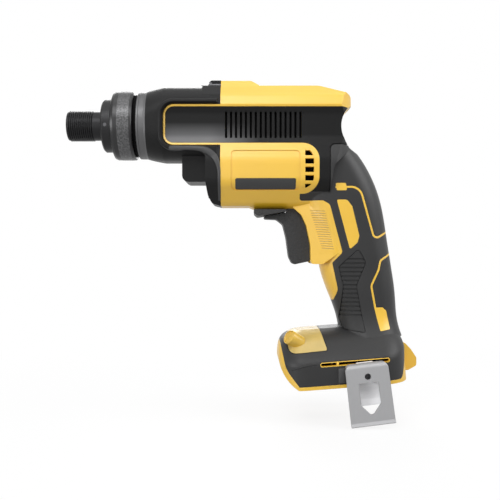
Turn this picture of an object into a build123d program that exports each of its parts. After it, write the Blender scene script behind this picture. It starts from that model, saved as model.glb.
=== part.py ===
from build123d import *
import os
from math import pi, sin, cos, tan, acos, radians, hypot, sqrt

# Cordless screw gun without its battery. Millimetres, +Z up. The origin is the tip of the nose on the
# spindle axis, +X runs to the rear, and -Y is the left side of the tool.

# Shells
skin = 1.4
wall = 2.4
line_width = 1.5
fit_gap = 0.2
run_gap = 0.06
move_gap = 0.4
reach = 400.0

# Head: cross-section points (half width, height) and corner radii
cap_top = 29.5
cap_block_top = 34.0
cap_flat = 13.0
cap_shoulder = (23.0, 20.0)
cap_edge = (25.0, 12.5)
channel_top = (22.8, 5.5)
channel_low = (22.8, -11.5)
barrel_edge = (25.4, -18.6)
barrel_wide = (28.3, -30.0)
barrel_low = (27.6, -47.0)
barrel_flat = 13.0
barrel_bottom = -63.8
belly_bottom = -65.8
section_radii = (4.0, 6.0, 0.8, 8.0, 8.0, 0.8, 20.0, 14.0, 13.0)

# Head: stations along X
case_joint = 120.3
block_rear = 143.2
block_foot = 149.6
belly_step = 146.0
top_slope = 194.5
head_rear = 221.6
head_rear_top = 20.4
web_radius = 21.0
web_bottom = 211.9
web_height = -3.5
head_plan_half = 33.0
head_plan_round = 30.0
head_lower_rear = 206.0
belly_rear_top = -34.0
belly_ease = 4.0
top_clear = 9.0
top_run = 8.0
overrun = 30.0
block_side = 3.0

# Handle: height, front, rear and half width at each station
handle_stations = (
    (-14.0, 178.0, 218.6, 20.0),
    (-30.0, 178.0, 231.6, 22.0),
    (-50.0, 179.5, 241.4, 22.0),
    (-66.0, 184.5, 246.0, 21.2),
    (-85.0, 191.5, 249.2, 20.2),
    (-105.0, 196.6, 252.4, 19.4),
    (-121.0, 200.6, 254.9, 18.8),
    (-136.0, 206.4, 256.5, 18.4),
    (-148.0, 210.6, 257.4, 18.6),
    (-156.0, 212.4, 258.8, 20.6),
    (-164.0, 213.0, 261.2, 25.0),
)
handle_round = 0.86
bay_outline = ((170.0, -58.0), (176.6, -65.5), (182.2, -70.5), (186.0, -79.0), (189.1, -94.0),
               (189.3, -108.5), (198.5, -108.5), (216.0, -96.0), (216.0, -58.0))
bay_radii = (0.0, 0.0, 5.0, 8.0, 20.0, 2.5, 0.0, 0.0, 0.0)
bay_front_half = 11.2
bay_rear_half = 19.6
bay_taper_end = 204.0
bay_round = 3.0
bay_blend = 30.0

# Foot: its own frame sits on the rim plane, tilted nose down
foot_tilt = 4.5
foot_seat = (215.0, -199.2)
foot_front = -49.0
foot_rear = 47.0
foot_half = 36.5
foot_round = 20.0
foot_crease = 17.0
foot_top = 42.0
dome_stations = (
    (foot_crease, 0.0, 0.0, 0.0, 0.0),
    (22.0, 0.2, -0.6, 1.6, 0.5),
    (29.0, 1.0, -0.4, 7.2, 2.0),
    (36.0, 3.6, 2.6, 14.4, 4.5),
    (40.2, 8.4, 5.5, 21.5, 7.5),
    (foot_top, 13.0, 8.0, 26.0, 10.5),
)
mouth_top = (164.2, -177.0)
mouth_mid = (169.0, -192.5)
mouth_low = (181.0, -203.1)
rim_height = 2.6
front_rim_outline = ((100.0, -166.0), (165.5, -166.0), (169.6, -187.0), (181.0, -201.4), (181.0, -230.0),
                     (100.0, -230.0))
front_rim_radii = (0.0, 0.0, 20.0, 0.0, 0.0, 0.0)
rear_rim_outline = ((247.0, -230.0), (247.0, -197.5), (256.5, -193.0), (262.5, -168.0), (300.0, -168.0),
                    (300.0, -230.0))
rear_rim_radii = (0.0, 0.0, 6.0, 0.0, 0.0, 0.0)
rail_length = 66.0
rail_height = 5.6
rail_lift = 5.8
rail_middle = 4.0
rail_depth = 4.2
floor_height = 27.0
floor_thick = 2.0
floor_hole = (18.0, 14.0)
floor_hole_rear = 12.0
skirt_drop = 6.0
lug_outline = ((252.0, -168.0), (263.5, -170.0), (268.2, -175.0), (272.4, -181.5), (272.4, -187.6),
               (266.0, -191.2), (252.0, -193.0))
lug_radii = (0.0, 3.0, 3.0, 2.5, 2.5, 3.0, 0.0)
lug_half = 7.5

# Colour zones of the skin, drawn in side view
pill_front = 76.9
pill_top = 12.3
pill_bottom = -18.3
pill_round = 8.0
tongue_thick = 1.6
barrel_end = 194.8
barrel_end_round = 12.5
finger_top = -55.0
finger_low = -60.0
finger_tip = 180.5
seam_x = 203.0
seam_top = -17.6
seam_low = -53.5
seam_round = 4.0
seam_width = 0.7
seam_depth = 0.7
label_front = 128.4
label_rear = 180.4
label_top = -22.6
label_low = -52.4
label_round = 3.0
label_sink = 0.6
grip_outline = ((168.0, -60.0), (198.3, -60.0), (203.4, -63.0), (213.2, -99.5), (205.6, -107.4),
                (210.2, -128.0), (207.5, -136.5), (190.0, -136.5), (160.0, -112.0))
grip_radii = (0.0, 3.0, 4.0, 3.0, 2.0, 6.0, 1.0, 0.0, 0.0)
inlay_outline = ((208.6, -59.4), (216.5, -59.4), (220.4, -64.5), (226.0, -87.0), (224.6, -92.0),
                 (218.9, -97.3))
inlay_radii = (1.0, 3.0, 2.0, 3.0, 2.0, 1.0)
upper_line = ((207.5, -49.8), (226.1, -49.8), (237.5, -89.6), (251.0, -82.6))
upper_line_radii = (9.0, 3.5)
lower_line = ((256.0, -98.0), (242.4, -105.6), (240.8, -113.0), (235.2, -125.0), (238.5, -142.5),
              (241.0, -150.0))
lower_line_radii = (4.0, 10.0, 6.0, 10.0)
upper_tab = ((207.5, -46.8), (215.4, -46.8), (216.4, -52.4), (208.6, -52.4))
tab_round = 1.0
lower_tab = ((237.6, -141.6), (244.1, -141.6), (246.9, -144.2), (249.6, -158.0), (241.7, -159.4))
pad_outline = ((210.4, -110.5), (225.4, -96.7), (231.4, -107.5), (224.0, -125.0), (230.6, -160.6),
               (214.5, -158.4), (211.9, -150.0), (213.9, -125.1))
pad_radii = (1.5, 2.0, 5.0, 8.0, 1.5, 3.0, 6.0, 8.0)
pad_depth = 1.0
pad_gap = 0.3
pad_ribs = 14
pad_rib_pitch = 3.3
pad_rib_width = 1.3
pad_rib_depth = 0.7
pad_rib_top = -104.0
lens_outline = ((174.5, -150.0), (196.0, -150.0), (196.3, -158.0), (200.8, -172.8), (171.2, -175.8),
                (171.4, -164.0))
lens_radii = (0.0, 0.0, 1.0, 1.5, 5.0, 3.0)
lens_thick = 2.2
zone_front = 130.0
zone_rear = 330.0
zone_low = -240.0
zone_corner = (250.0, -60.0)

# Vents
vent_count = 16
vent_first = 124.6
vent_pitch = 3.75
vent_width = 1.7
vent_top = 6.9
vent_low = -12.9
vent_margin = 1.0
window_count = 5
window_front = 184.2
window_rear = 191.0
window_first = -24.6
window_pitch = 6.3
window_tall = 4.0
window_edge = 4.0

# Gear case
neck_front = 58.0
neck_radius = 26.0
flare_front = 62.0
flare_rear = 76.0
case_half_width = 27.2
case_half_height = 28.6
case_round = 22.0
flange_front = 112.6
flare_mix = 0.6
flare_ease = 1.5
case_inside = 17.4
case_wall = 2.4
case_inside_round = 14.4
case_cavity_front = 64.0
block_front = 90.6
block_top = -20.0
block_low = -45.4
block_half = 16.0
block_round = 5.0
block_wall = 3.0
flange_outline = ((95.0, 34.0), (112.0, 34.0), (120.3, 34.0), (120.3, -63.8), (113.5, -62.0),
                  (110.6, -56.0), (109.0, -46.0), (109.0, -26.0), (106.0, 29.0))
flange_radii = (0.0, 0.0, 0.0, 0.0, 4.0, 6.0, 10.0, 8.0, 0.0)
bump_half = 9.4
bump_front = 105.6
bump_crest = 112.4
bump_round = 2.5
bump_root = 6.0
saddle_rim = 4.2
saddle_half = 27.5
saddle_front = 109.5
saddle_low = -40.0
saddle_sweep = 8.0
saddle_round = 2.0
pocket_floor = 25.0
pocket_taper = 30.0

# Nose
thread_radius = 11.8
thread_root = 11.1
thread_pitch = 1.6
thread_turns = 12
thread_front = 1.2
neck_relief = 11.3
sleeve_radius = 15.0
nose_clear = 0.9
sleeve_shoulder = 28.6
ring_front = 28.2
ring_rear = 35.8
ring_radius = 20.6
ring_chamfer = 1.2
set_screw_sink = 0.3
set_screw_radius = 1.5
set_screw_angle = 6.0
collar_rear = 53.2
collar_radius = 26.7
collar_inside = 22.6
collar_front_wall = 2.6
collar_round = 2.8
collar_edge = 0.8
lug_count = 3
lug_key_half = 2.2
lug_key_tall = 1.5
nut_thick = 3.6
spring_radius = 17.0
spring_thick = 2.2
spring_gap = 0.3

# Drive
gear_module = 0.75
pinion_teeth = 10
gear_teeth = 42
pressure_angle = 25.0
addendum = 0.8
dedendum = 1.1
backlash = 0.16
gear_front = 76.5
gear_width = 8.0
spindle_front = 1.6
spindle_radius = 7.3
spindle_tail = 5.0
tail_step = 1.0
hex_flats = 6.5
hex_depth = 25.0
bush_front = 16.0
bush_rear = 30.0
bush_wall = 2.2
clip_wire = 0.9
clip_groove = 8.0
clip_stand = 0.5
clip_slot = 1.2
clip_ease = 0.1
clutch_front = 68.0
clutch_thick = 6.0
clutch_radius = 15.0
ball_count = 6
ball_radius = 2.0
ball_circle = 11.2
ball_ease = 0.05
ball_floor = 1.5
plate_front = 88.0
plate_rear = 103.0
spindle_bearing_radius = 10.5
bearing_width = 6.0
bearing_setback = 2.0
bearing_shield = 0.7
bearing_dish = 0.4
press_gap = 0.05

# Motor
shaft_radius = 3.0
pinion_bore = 2.1
pinion_overhang = 1.0
shaft_front = 75.0
shaft_rear = 182.0
front_bearing_radius = 6.0
front_bearing_face = 97.0
bearing_lip = 1.0
rear_bearing_radius = 8.0
rear_bearing_front = 175.0
fan_front = 122.0
fan_width = 7.0
fan_radius = 18.6
fan_blades = 11
fan_hub = 7.0
fan_blade = 1.2
stator_front = 136.0
stator_length = 30.0
stator_radius = 19.6
stator_bore = 11.6
stator_teeth = 9
slot_half = 2.4
slot_mouth = 0.8
tooth_tip = 1.8
stator_back = 3.0
coil_inset = 1.6
coil_back = 2.6
rotor_radius = 11.0
rotor_inset = 1.0
magnet_thick = 2.0
magnet_gap = 0.6
board_inset = 2.0
board_clear = 3.0
rib_thick = 4.0
rib_low = -42.0
rib_top = 6.0
magnet_count = 4
coil_overhang = 4.6
board_thick = 1.6

# Controls
trigger_outline = ((152.2, -71.9), (154.6, -73.4), (163.4, -73.8), (168.4, -77.8), (171.0, -88.2),
                   (173.0, -103.3), (176.0, -109.2), (188.1, -106.6), (192.0, -104.0), (192.0, -74.0),
                   (188.0, -63.6), (172.6, -63.6), (170.8, -68.6))
trigger_radii = (0.8, 1.0, 4.0, 4.0, 12.0, 8.0, 3.0, 1.5, 1.0, 2.0, 3.0, 1.0, 1.0)
trigger_half = 9.0
trigger_travel = 6.0
switch_box = (204.0, 234.0, -101.0, -74.0)
switch_half = 11.0
plunger_radius = 2.6
plunger_height = -89.0
plunger_bore = 16.0
plunger_reach = 8.0
trigger_coil = 0.5
trigger_coil_thick = 1.3
switch_rib = 2.0
switch_rib_long = 14.0
button_outline = ((145.6, -66.4), (171.0, -66.4), (170.4, -68.0), (153.2, -71.0), (148.4, -71.6),
                  (146.0, -69.4))
button_radii = (0.6, 0.6, 0.6, 0.6, 1.5, 1.0)
button_half = 17.0
button_travel = 2.5
button_stem = (150.0, 158.0)
button_stem_half = 6.0
button_keeper = 2.2
button_flange = 3.0
module_box = (139.0, 174.0, -56.0, -43.0)
module_half = 14.5
shelf_thick = 2.0
shelf_inset = 4.0
light_board = (-34.0, -21.0)
light_board_half = 7.0
light_height = 35.0
light_card = 1.6
light_size = 4.0
light_tall = 1.2
light_margin = 2.0
light_post = 3.0
terminal_length = 44.0
terminal_half = 17.0
terminal_height = 9.0
terminal_middle = 4.0
blade_count = 6
blade_thick = 0.8
blade_drop = 11.0
blade_length = 14.0
blade_middle = -8.0
blade_edge = 3.0
lead_radius = 1.1
lead_bend = 0.45
power_lead_half = 3.0
power_lead_path = ((231.5, -150.0), (228.5, -125.0), (225.0, -112.0))
switch_lead_half = 4.0
switch_lead_height = -47.0
switch_lead_path = ((186.0, -47.0), (205.0, -55.0), (210.0, -64.0))
motor_lead_pitch = 4.0

# Belt hook
hook_tilt = 7.0
hook_seat = (226.8, -180.2)
hook_sheet = 1.6
hook_top_half = 15.6
hook_low_half = 16.2
hook_drop = 44.6
hook_standoff = 6.5
hook_neck_half = 11.6
hook_round = 4.5
hook_lip = 2.4
hook_bend = 2.4
hook_kick = 1.2
hook_kick_drop = 2.4
tongue_half = 9.2
tongue_drop = 31.5
tongue_kick = 1.4
tongue_crease = 4.6
tongue_neck = 4.6
tongue_shoulder = 2.6
tab_half = 6.0
tab_thick = 0.7
tab_depth = 1.0
window_half = 7.2
window_top = 13.6
window_low = 29.4
window_point = 38.0
hook_hole_drop = 9.2
hook_screw_radius = 2.0
hook_screw_head = 3.6
hook_screw_length = 9.4
hook_screw_tall = 2.2
hook_screw_socket = 1.2
hook_access = 2.3
slot_front = 194.6
slot_rear = 246.0
slot_tall = 3.4
slot_border = 0.6
slot_post = 207.5
slot_post_half = 0.8

# Housing screws: place in side view
screw_places = ((127.0, 20.0), (189.0, 19.0), (213.0, -33.0), (237.5, -66.0), (211.0, -119.0),
                (243.0, -146.0), (252.0, -178.0), (183.0, -57.0))
screw_radius = 1.7
screw_head = 3.3
screw_head_tall = 2.4
screw_seats = (12.0, 12.0, 10.0, 10.0, 9.0, 9.0, 20.0, 12.0)
screw_tip = -8.0
screw_drive = 1.65
boss_radius = 3.9
case_screws = ((8.2, 30.4), (-8.2, 30.4), (16.5, -55.5), (-16.5, -55.5))
case_screw_radius = 1.6
case_screw_head = 2.6
case_screw_tall = 2.2
case_screw_front = 111.0
case_screw_length = 20.0
case_screw_drive = 1.3
case_screw_reach = 12.0
boss_end = 2.0

axis_drop = gear_module * (pinion_teeth + gear_teeth) / 2
foot_frame = Plane(origin=(foot_seat[0], 0, foot_seat[1]), x_dir=(cos(radians(foot_tilt)), 0,
                   sin(radians(foot_tilt))), z_dir=(-sin(radians(foot_tilt)), 0, cos(radians(foot_tilt))))


def moved_in(points, radii, inset):
    """Outline with every side moved inward by inset, and each corner radius to suit."""
    count = len(points)
    area = sum(points[i - 1][0] * points[i][1] - points[i][0] * points[i - 1][1] for i in range(count))
    turn = 1 if area > 0 else -1
    sides = []
    for i in range(count):
        a, b = points[i - 1], points[i]
        length = hypot(b[0] - a[0], b[1] - a[1])
        normal = (-(b[1] - a[1]) / length * turn, (b[0] - a[0]) / length * turn)
        sides.append((normal, normal[0] * a[0] + normal[1] * a[1] + inset))
    corners, rounds = [], []
    for i in range(count):
        (n1, c1), (n2, c2) = sides[i], sides[(i + 1) % count]
        det = n1[0] * n2[1] - n1[1] * n2[0]
        corners.append(((c1 * n2[1] - c2 * n1[1]) / det, (n1[0] * c2 - n2[0] * c1) / det))
        bulge = det * turn
        rounds.append(radii[i] + inset if bulge < 0 else max(radii[i] - inset, 0))
    return corners, [r if radii[i] else 0 for i, r in enumerate(rounds)]


def outline(points, radii, inset=0.0):
    if inset:
        points, radii = moved_in(points, radii, inset)
    return make_face(FilletPolyline(*points, radius=radii, close=True))


def side_prism(points, radii, half_width=reach, inset=0.0):
    """Prism across the tool from an outline in side view."""
    return extrude(Plane.XZ * outline(points, radii, inset), half_width, both=True)


def strip(path, radii, width):
    """Band of the given width along a side view path, right through the tool."""
    line = FilletPolyline(*path, radius=radii)
    band = trace(line, width)
    return extrude(Plane.XZ * band, reach, both=True)


def box(x0, x1, y0, y1, z0, z1):
    return Pos((x0 + x1) / 2, (y0 + y1) / 2, (z0 + z1) / 2) * Box(x1 - x0, y1 - y0, z1 - z0)


def rod_x(radius, x0, x1, y=0.0, z=0.0):
    return Pos((x0 + x1) / 2, y, z) * Rot(0, 90, 0) * Cylinder(radius, x1 - x0)


def tube_x(outer, inner, x0, x1, z=0.0):
    return rod_x(outer, x0, x1, z=z) - rod_x(inner, x0 - 1, x1 + 1, z=z)


def rod_y(radius, x, z, y0, y1):
    return Pos(x, (y0 + y1) / 2, z) * Rot(90, 0, 0) * Cylinder(radius, y1 - y0)


def section_outline():
    right = [(cap_flat, cap_top), cap_shoulder, cap_edge, channel_top, channel_low, barrel_edge,
             barrel_wide, barrel_low, (barrel_flat, belly_bottom)]
    left = [(-y, z) for y, z in reversed(right)]
    return right + left, list(section_radii) + list(reversed(section_radii))


def head_section(x0, x1, inset=0.0):
    points, radii = section_outline()
    return extrude(Plane.YZ.offset(x0) * outline(points, radii, inset), x1 - x0)


def head(inset=0.0, front=case_joint):
    """Head behind the gear case: one cross-section, trimmed in side view and in plan."""
    body = head_section(front, head_rear + 5, inset)
    block = extrude(Plane.YZ.offset(front) * outline(
        ((bump_half, cap_block_top), (cap_flat + block_side, cap_top - block_side),
         (-cap_flat - block_side, cap_top - block_side), (-bump_half, cap_block_top)),
        (block_side, 0, 0, block_side), inset), block_foot - front)
    block &= side_prism(((front - 1, cap_block_top - inset), (block_rear - inset, cap_block_top - inset),
                         (block_foot - inset, cap_top - inset), (block_foot - inset, 0), (front - 1, 0)),
                        (0, 6, 0, 0, 0))
    start, above = front - overrun, cap_block_top + top_clear
    side = side_prism(((start, above), (block_foot, above), (top_slope - top_run, cap_top),
                       (top_slope, cap_top), (head_rear, head_rear_top), (head_rear, barrel_edge[1]),
                       (head_lower_rear, belly_rear_top), (head_lower_rear - belly_ease, belly_bottom),
                       (belly_step, belly_bottom), (belly_step - belly_ease, barrel_bottom),
                       (start, barrel_bottom)),
                      (0, 0, 0, 20, 3, 0, 10, 4, 2, 2, 0), inset=inset)
    plan = extrude(Plane.XY * outline(((start, head_plan_half), (head_rear, head_plan_half),
                                       (head_rear, -head_plan_half), (start, -head_plan_half)),
                                      (0, head_plan_round, head_plan_round, 0), inset), reach, both=True)
    web = rod_y(web_radius + inset, web_bottom + web_radius, web_height, -reach, reach)
    return (body + block) & side & plan & box(front, reach, -reach, reach, -reach, reach) - web


def handle(inset=0.0):
    rings = []
    for height, front, rear, half_width in handle_stations:
        ring = RectangleRounded(rear - front - 2 * inset, 2 * (half_width - inset),
                                handle_round * (half_width - inset))
        rings.append(Pos((front + rear) / 2, 0, height) * ring)
    web = rod_y(web_radius + inset, web_bottom + web_radius, web_height, -reach, reach)
    return loft(rings) - web


def trigger_bay(inset=0.0):
    x0, x1 = bay_outline[0][0], bay_outline[-1][0] + overrun
    near = ((x0, bay_front_half), (bay_taper_end, bay_rear_half), (x1, bay_rear_half))
    far = [(x, -y) for x, y in reversed(near)]
    plan = outline(list(near) + far, (bay_round, bay_blend, 0, 0, bay_blend, bay_round), inset)
    upright = extrude(Plane.XY * plan, reach, both=True)
    return side_prism(bay_outline, bay_radii, inset=inset) & upright


def foot(inset=0.0, below=0.0):
    """Battery foot: straight sides up to the crease and a domed top, cut away at the front mouth."""
    def plan(front_in, rear_in, side_in, round_in):
        front = foot_front + inset + front_in
        rear = foot_rear - inset - rear_in
        shape = RectangleRounded(rear - front, 2 * (foot_half - inset - side_in),
                                 foot_round - inset - round_in)
        return Pos((front + rear) / 2, 0) * shape
    base = extrude(foot_frame.offset(-below) * plan(0, 0, 0, 0), foot_crease + below)
    rings = [foot_frame.offset(w if i == 0 else w - inset) * plan(f, r, s, c)
             for i, (w, f, r, s, c) in enumerate(dome_stations)]
    return base + loft(rings)


def mouth():
    """Space in front of and below the battery mouth, in side view."""
    edge = ThreePointArc(mouth_top, mouth_mid, mouth_low)
    far = Polyline(edge @ 1, (mouth_low[0], -reach), (0, -reach), (0, mouth_top[1]), edge @ 0)
    return extrude(Plane.XZ * make_face(edge + far), reach, both=True)


def envelope(inset=0.0):
    return head(inset) + handle(inset) + trigger_bay(inset) + foot(inset)


def pill(inset=0.0):
    """Side panel of the head: a long round-fronted strip that runs on to the rear."""
    end = head_rear + overrun
    return side_prism(((pill_front, pill_top), (end, pill_top), (end, pill_bottom),
                       (pill_front, pill_bottom)), (pill_round, 0, 0, pill_round), inset=inset)


def barrel_zone(inset=0.0):
    """Yellow side of the motor, from the piping under the side panel down to the finger notch."""
    top = pill_bottom + line_width
    return side_prism(((0, top), (barrel_end, top), (barrel_end, finger_top), (0, finger_top)),
                      (0, barrel_end_round, barrel_end_round, 0), inset=inset)


def panel_zone():
    front, rear = pill_front + line_width, head_rear + overrun / 2
    top, low = pill_top - line_width, pill_bottom + line_width
    tail = barrel_end - 1.5 * barrel_end_round
    zone = side_prism(((front, top), (rear, top), (rear, seam_top), (seam_x, seam_top), (seam_x, seam_low),
                       (tail, seam_low), (tail, low), (front, low)),
                      (pill_round - line_width, 0, 0, seam_round, 0, 0, 0, pill_round - line_width))
    return zone - barrel_zone()


def overmould_zone():
    grip_x, grip_z = grip_outline[1]
    belly = grip_outline[6][1]
    zone = side_prism(((finger_tip, finger_low), (grip_x, grip_z), (grip_x, belly), (zone_front, belly),
                       (zone_front, zone_low), (zone_rear, zone_low), (zone_rear, zone_corner[1]),
                       (zone_corner[0], seam_top), (seam_x, seam_top), (seam_x, seam_low),
                       (finger_tip, seam_low)), (2, 0, 0, 0, 0, 0, 0, 0, seam_round, 0, 2))
    rim = foot_frame * Pos(0, 0, rim_height / 2 - 50) * Box(300, 300, rim_height + 100)
    lines = [strip(upper_line, upper_line_radii, line_width),
             strip(lower_line, lower_line_radii, line_width)]
    tabs = [side_prism(tab, (tab_round,) * len(tab)) for tab in (upper_tab, lower_tab)]
    yellow = [barrel_zone(), side_prism(grip_outline, grip_radii), side_prism(inlay_outline, inlay_radii),
              side_prism(front_rim_outline, front_rim_radii), side_prism(rear_rim_outline, rear_rim_radii),
              rim, hook_slot(), side_prism(lug_outline, lug_radii, lug_half)]
    return zone - (yellow + lines + tabs)


def hook_slot(inset=0.0):
    rise = (slot_rear - slot_front) * tan(radians(foot_tilt))
    x0, x1 = slot_front, slot_rear
    z0 = hook_seat[1] - slot_tall / 2 - (hook_seat[0] - x0) * tan(radians(foot_tilt))
    return side_prism(((x0, z0), (x1, z0 + rise), (x1, z0 + rise + slot_tall), (x0, z0 + slot_tall)),
                      (slot_tall * 0.45,) * 4, inset=inset)


def lens_zone(inset=0.0):
    return side_prism(lens_outline, lens_radii, inset=inset)


def left(solid):
    return solid & box(-reach, reach, -reach, 0, -reach, reach)


outer = left(envelope() - mouth())
under_skin = left(envelope(skin) - mouth())
cavity = left(head(skin + wall) + handle(skin + wall) + trigger_bay(skin + wall)
              + foot(skin + wall, below=skirt_drop))
panel_area = panel_zone()
soft_area = overmould_zone()
pad_area = side_prism(pad_outline, pad_radii)


def vent_cuts():
    cuts = []
    for i in range(vent_count):
        x = vent_first + i * vent_pitch
        cuts.append(box(x - vent_width / 2, x + vent_width / 2, -reach, reach, vent_low, vent_top))
    return cuts


def pad_grooves():
    shell = handle() - handle(pad_rib_depth)
    cuts = []
    for i in range(pad_ribs):
        z = pad_rib_top - i * pad_rib_pitch
        slab = box(190, 250, -reach, reach, z - pad_rib_width, z)
        cuts.append(slab & shell)
    return cuts


def head_layer(outside, inside):
    """Layer of the head's cross-section in front of the gear case joint, on the left side."""
    front = pill_front - 5
    return left(head_section(front, case_joint, outside) - head_section(front, case_joint, inside))


def vent_window():
    """One opening in the wall behind all the slots of the side panel."""
    last = vent_first + (vent_count - 1) * vent_pitch
    return box(vent_first - vent_margin, last + vent_margin, -reach, reach, vent_low - vent_margin,
               vent_top + vent_margin)


def housing():
    """Left half of the clamshell, with the tongue that runs forward over the gear case."""
    black = panel_area + soft_area
    shell = (outer - black) + (under_skin & black) - [cavity, vent_window()]
    front_pill = pill() & box(0, case_joint, -reach, reach, -reach, reach)
    tongue = head_layer(skin, skin + tongue_thick) & front_pill
    edge = head_layer(0, skin) & (front_pill - panel_area)
    lug = left(side_prism(lug_outline, lug_radii, lug_half)) - foot(skin)
    return shell + [tongue, edge, lug]


def ribs():
    motor = rod_x(stator_radius, stator_front - 1, stator_front + stator_length + 1, z=-axis_drop)
    added = []
    for x in (stator_front + rib_thick / 2, stator_front + stator_length - 1.5 * rib_thick):
        added.append((cavity & box(x, x + rib_thick, -reach, reach, rib_low, rib_top)) - motor)
    seat = rod_x(rear_bearing_radius, rear_bearing_front - 1, reach, z=-axis_drop)
    rear_rib = box(rear_bearing_front, rear_bearing_front + bearing_width, -reach, reach, rib_low, rib_top)
    added.append((cavity & rear_rib) - seat)
    x0, x1, z0, z1 = switch_box
    added.append(cavity & box(x1 - switch_rib_long, x1, -reach, reach, z1, z1 + switch_rib))
    added.append(cavity & box(x0, x0 + switch_rib_long, -reach, reach, z0 - switch_rib, z0))
    x0, x1, z0, z1 = module_box
    added.append(cavity & box(x0 + shelf_inset, x1 - shelf_inset, -reach, reach, z0 - shelf_thick, z0))
    floor = foot_frame * Pos(0, 0, floor_height + floor_thick / 2) * Box(reach, reach, floor_thick)
    hole = foot_frame * Pos(floor_hole_rear, 0, floor_height) * Box(*floor_hole, floor_thick * 4)
    added.append((cavity & floor & foot(skin + wall)) - hole)
    post_tall = light_height - floor_height
    for u in (light_board[0] + light_post / 2, light_board[1] - light_post / 2):
        post = foot_frame * Pos(u, 0, floor_height + post_tall / 2)
        added.append(cavity & post * Box(light_post, 2 * light_board_half, post_tall))
    inner = foot_half - skin - wall
    lip = foot_frame * Pos(rail_middle, -inner + rail_depth / 2 - wall / 2, rail_lift + rail_height / 2)
    added.append(lip * Box(rail_length, rail_depth + wall, rail_height) & under_skin)
    for x, z in screw_places:
        added.append(cavity & rod_y(boss_radius, x, z, -reach, reach))
    for y, z in case_screws:
        end = case_screw_front + case_screw_tall + case_screw_length
        added.append(under_skin & rod_x(boss_radius, case_joint, end + boss_end, y, z))
    return added


def trigger_opening():
    """Room the trigger sweeps: its back half carried on by the travel, with the gap all round."""
    low, top = 6, 11
    back = [(x + trigger_travel, z) for x, z in trigger_outline[low:top]]
    points = list(trigger_outline[:low + 1]) + back + list(trigger_outline[top:])
    radii = trigger_radii[:low + 1] + trigger_radii[low:]
    return side_prism(points, radii, trigger_half + move_gap, inset=-move_gap)


def housing_cuts():
    cuts = []
    frame = barrel_zone(window_edge)
    for i in range(window_count):
        z = window_first - i * window_pitch
        cuts.append(frame & box(window_front, window_rear, -reach, reach, z - window_tall / 2,
                                z + window_tall / 2))
    cuts.append(trigger_opening())
    x0, x1 = button_stem
    slot = button_stem_half + button_travel + move_gap
    cuts.append(box(x0 - move_gap, x1 + move_gap, -slot, slot, belly_bottom - 5, belly_bottom + 5))
    cuts.append(lens_zone() & (foot() - foot(lens_thick + fit_gap)))
    u0, u1 = light_board
    light = foot_frame * Pos((u0 + u1) / 2, 0, light_height + reach / 2)
    cuts.append(light * Box(u1 - u0 - 2 * light_margin, 2 * (light_board_half - light_margin), reach)
                & foot(skin))
    post = box(slot_post - slot_post_half, slot_post + slot_post_half, -reach, reach, -reach, reach)
    cuts.append(hook_slot(slot_border) - foot(skin + wall + fit_gap) - post)
    for y, z in case_screws:
        end = case_screw_front + case_screw_tall + case_screw_length
        cuts.append(rod_x(case_screw_radius, case_joint - 1, end, y, z))
    return cuts


def label_cut():
    frame = side_prism(((label_front, label_top), (label_rear, label_top), (label_rear, label_low),
                        (label_front, label_low)), (label_round,) * 4)
    return frame - head_section(case_joint, label_rear + 5, label_sink)


def hook_place():
    return Plane(origin=(hook_seat[0], 0, hook_seat[1]), x_dir=(cos(radians(hook_tilt)), 0,
                 sin(radians(hook_tilt))), z_dir=(0, -1, 0))


def hook_screw_centre():
    point = hook_place().from_local_coords((0, -hook_hole_drop, 0))
    return point.X, point.Z


body = (housing() + ribs()) - (housing_cuts() + [label_cut()])
panel_skin = ((outer - under_skin) & panel_area) + (head_layer(0, skin) & panel_area)
seam = strip(((head_rear + overrun, seam_top), (seam_x, seam_top), (seam_x, seam_low)), (seam_round,),
             seam_width)
seam -= head(seam_depth) + handle(seam_depth)
panel_skin -= vent_cuts() + [seam]
soft_skin = ((outer - under_skin) & soft_area) - [lens_zone(), seam]
pad_bed = handle(pad_depth)
pads = (soft_skin & side_prism(pad_outline, pad_radii, inset=pad_gap)) - [pad_bed] - pad_grooves()
soft_skin -= pad_area - pad_bed
nodes = {}
for name, solid in (("housing", body), ("vent_panel", panel_skin), ("overmould", soft_skin),
                    ("grip_pad", pads)):
    nodes[f"left_{name}"] = solid
    nodes[f"right_{name}"] = mirror(solid, about=Plane.XZ)


# Fasteners of the shells
def housing_screw(x, z, seat):
    shank = rod_y(screw_radius, x, z, screw_tip, seat)
    head_disc = rod_y(screw_head, x, z, seat, seat + screw_head_tall)
    socket = rod_y(screw_drive, x, z, seat + screw_head_tall / 2, seat + screw_head_tall + 1)
    return shank + head_disc - socket


screw_holes = []
screw_wells = []
screws = []
for (x, z), seat in zip(screw_places, screw_seats):
    screws.append(housing_screw(x, z, seat))
    screw_holes.append(rod_y(screw_radius, x, z, screw_tip - 1, 0.5))
    screw_wells.append(rod_y(screw_radius + fit_gap, x, z, -0.5, seat))
    screw_wells.append(rod_y(screw_head + fit_gap, x, z, seat, reach))
hook_x, hook_z = hook_screw_centre()
rail_face = foot_half - skin - wall - rail_depth
hook_bore = rod_y(hook_screw_radius, hook_x, hook_z, -reach, -rail_face + 0.01)
spare_bore = rod_y(hook_screw_radius, hook_x, hook_z, rail_face - 0.01, reach)
nodes["left_housing"] -= screw_holes + [hook_bore]
nodes["right_housing"] -= screw_wells + [spare_bore]
hook_clear = rod_y(hook_screw_radius + 2 * fit_gap, hook_x, hook_z, -reach, reach)
nodes["left_overmould"] -= [hook_clear]
nodes["right_overmould"] -= screw_wells + [hook_clear]
nodes["right_vent_panel"] -= screw_wells
nodes["right_grip_pad"] -= screw_wells
nodes["housing_screws"] = Compound(screws)


# Gear case
def case_ring(x, half_width, half_height, corner):
    return Plane.YZ.offset(x) * RectangleRounded(2 * half_width, 2 * half_height, corner)


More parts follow.
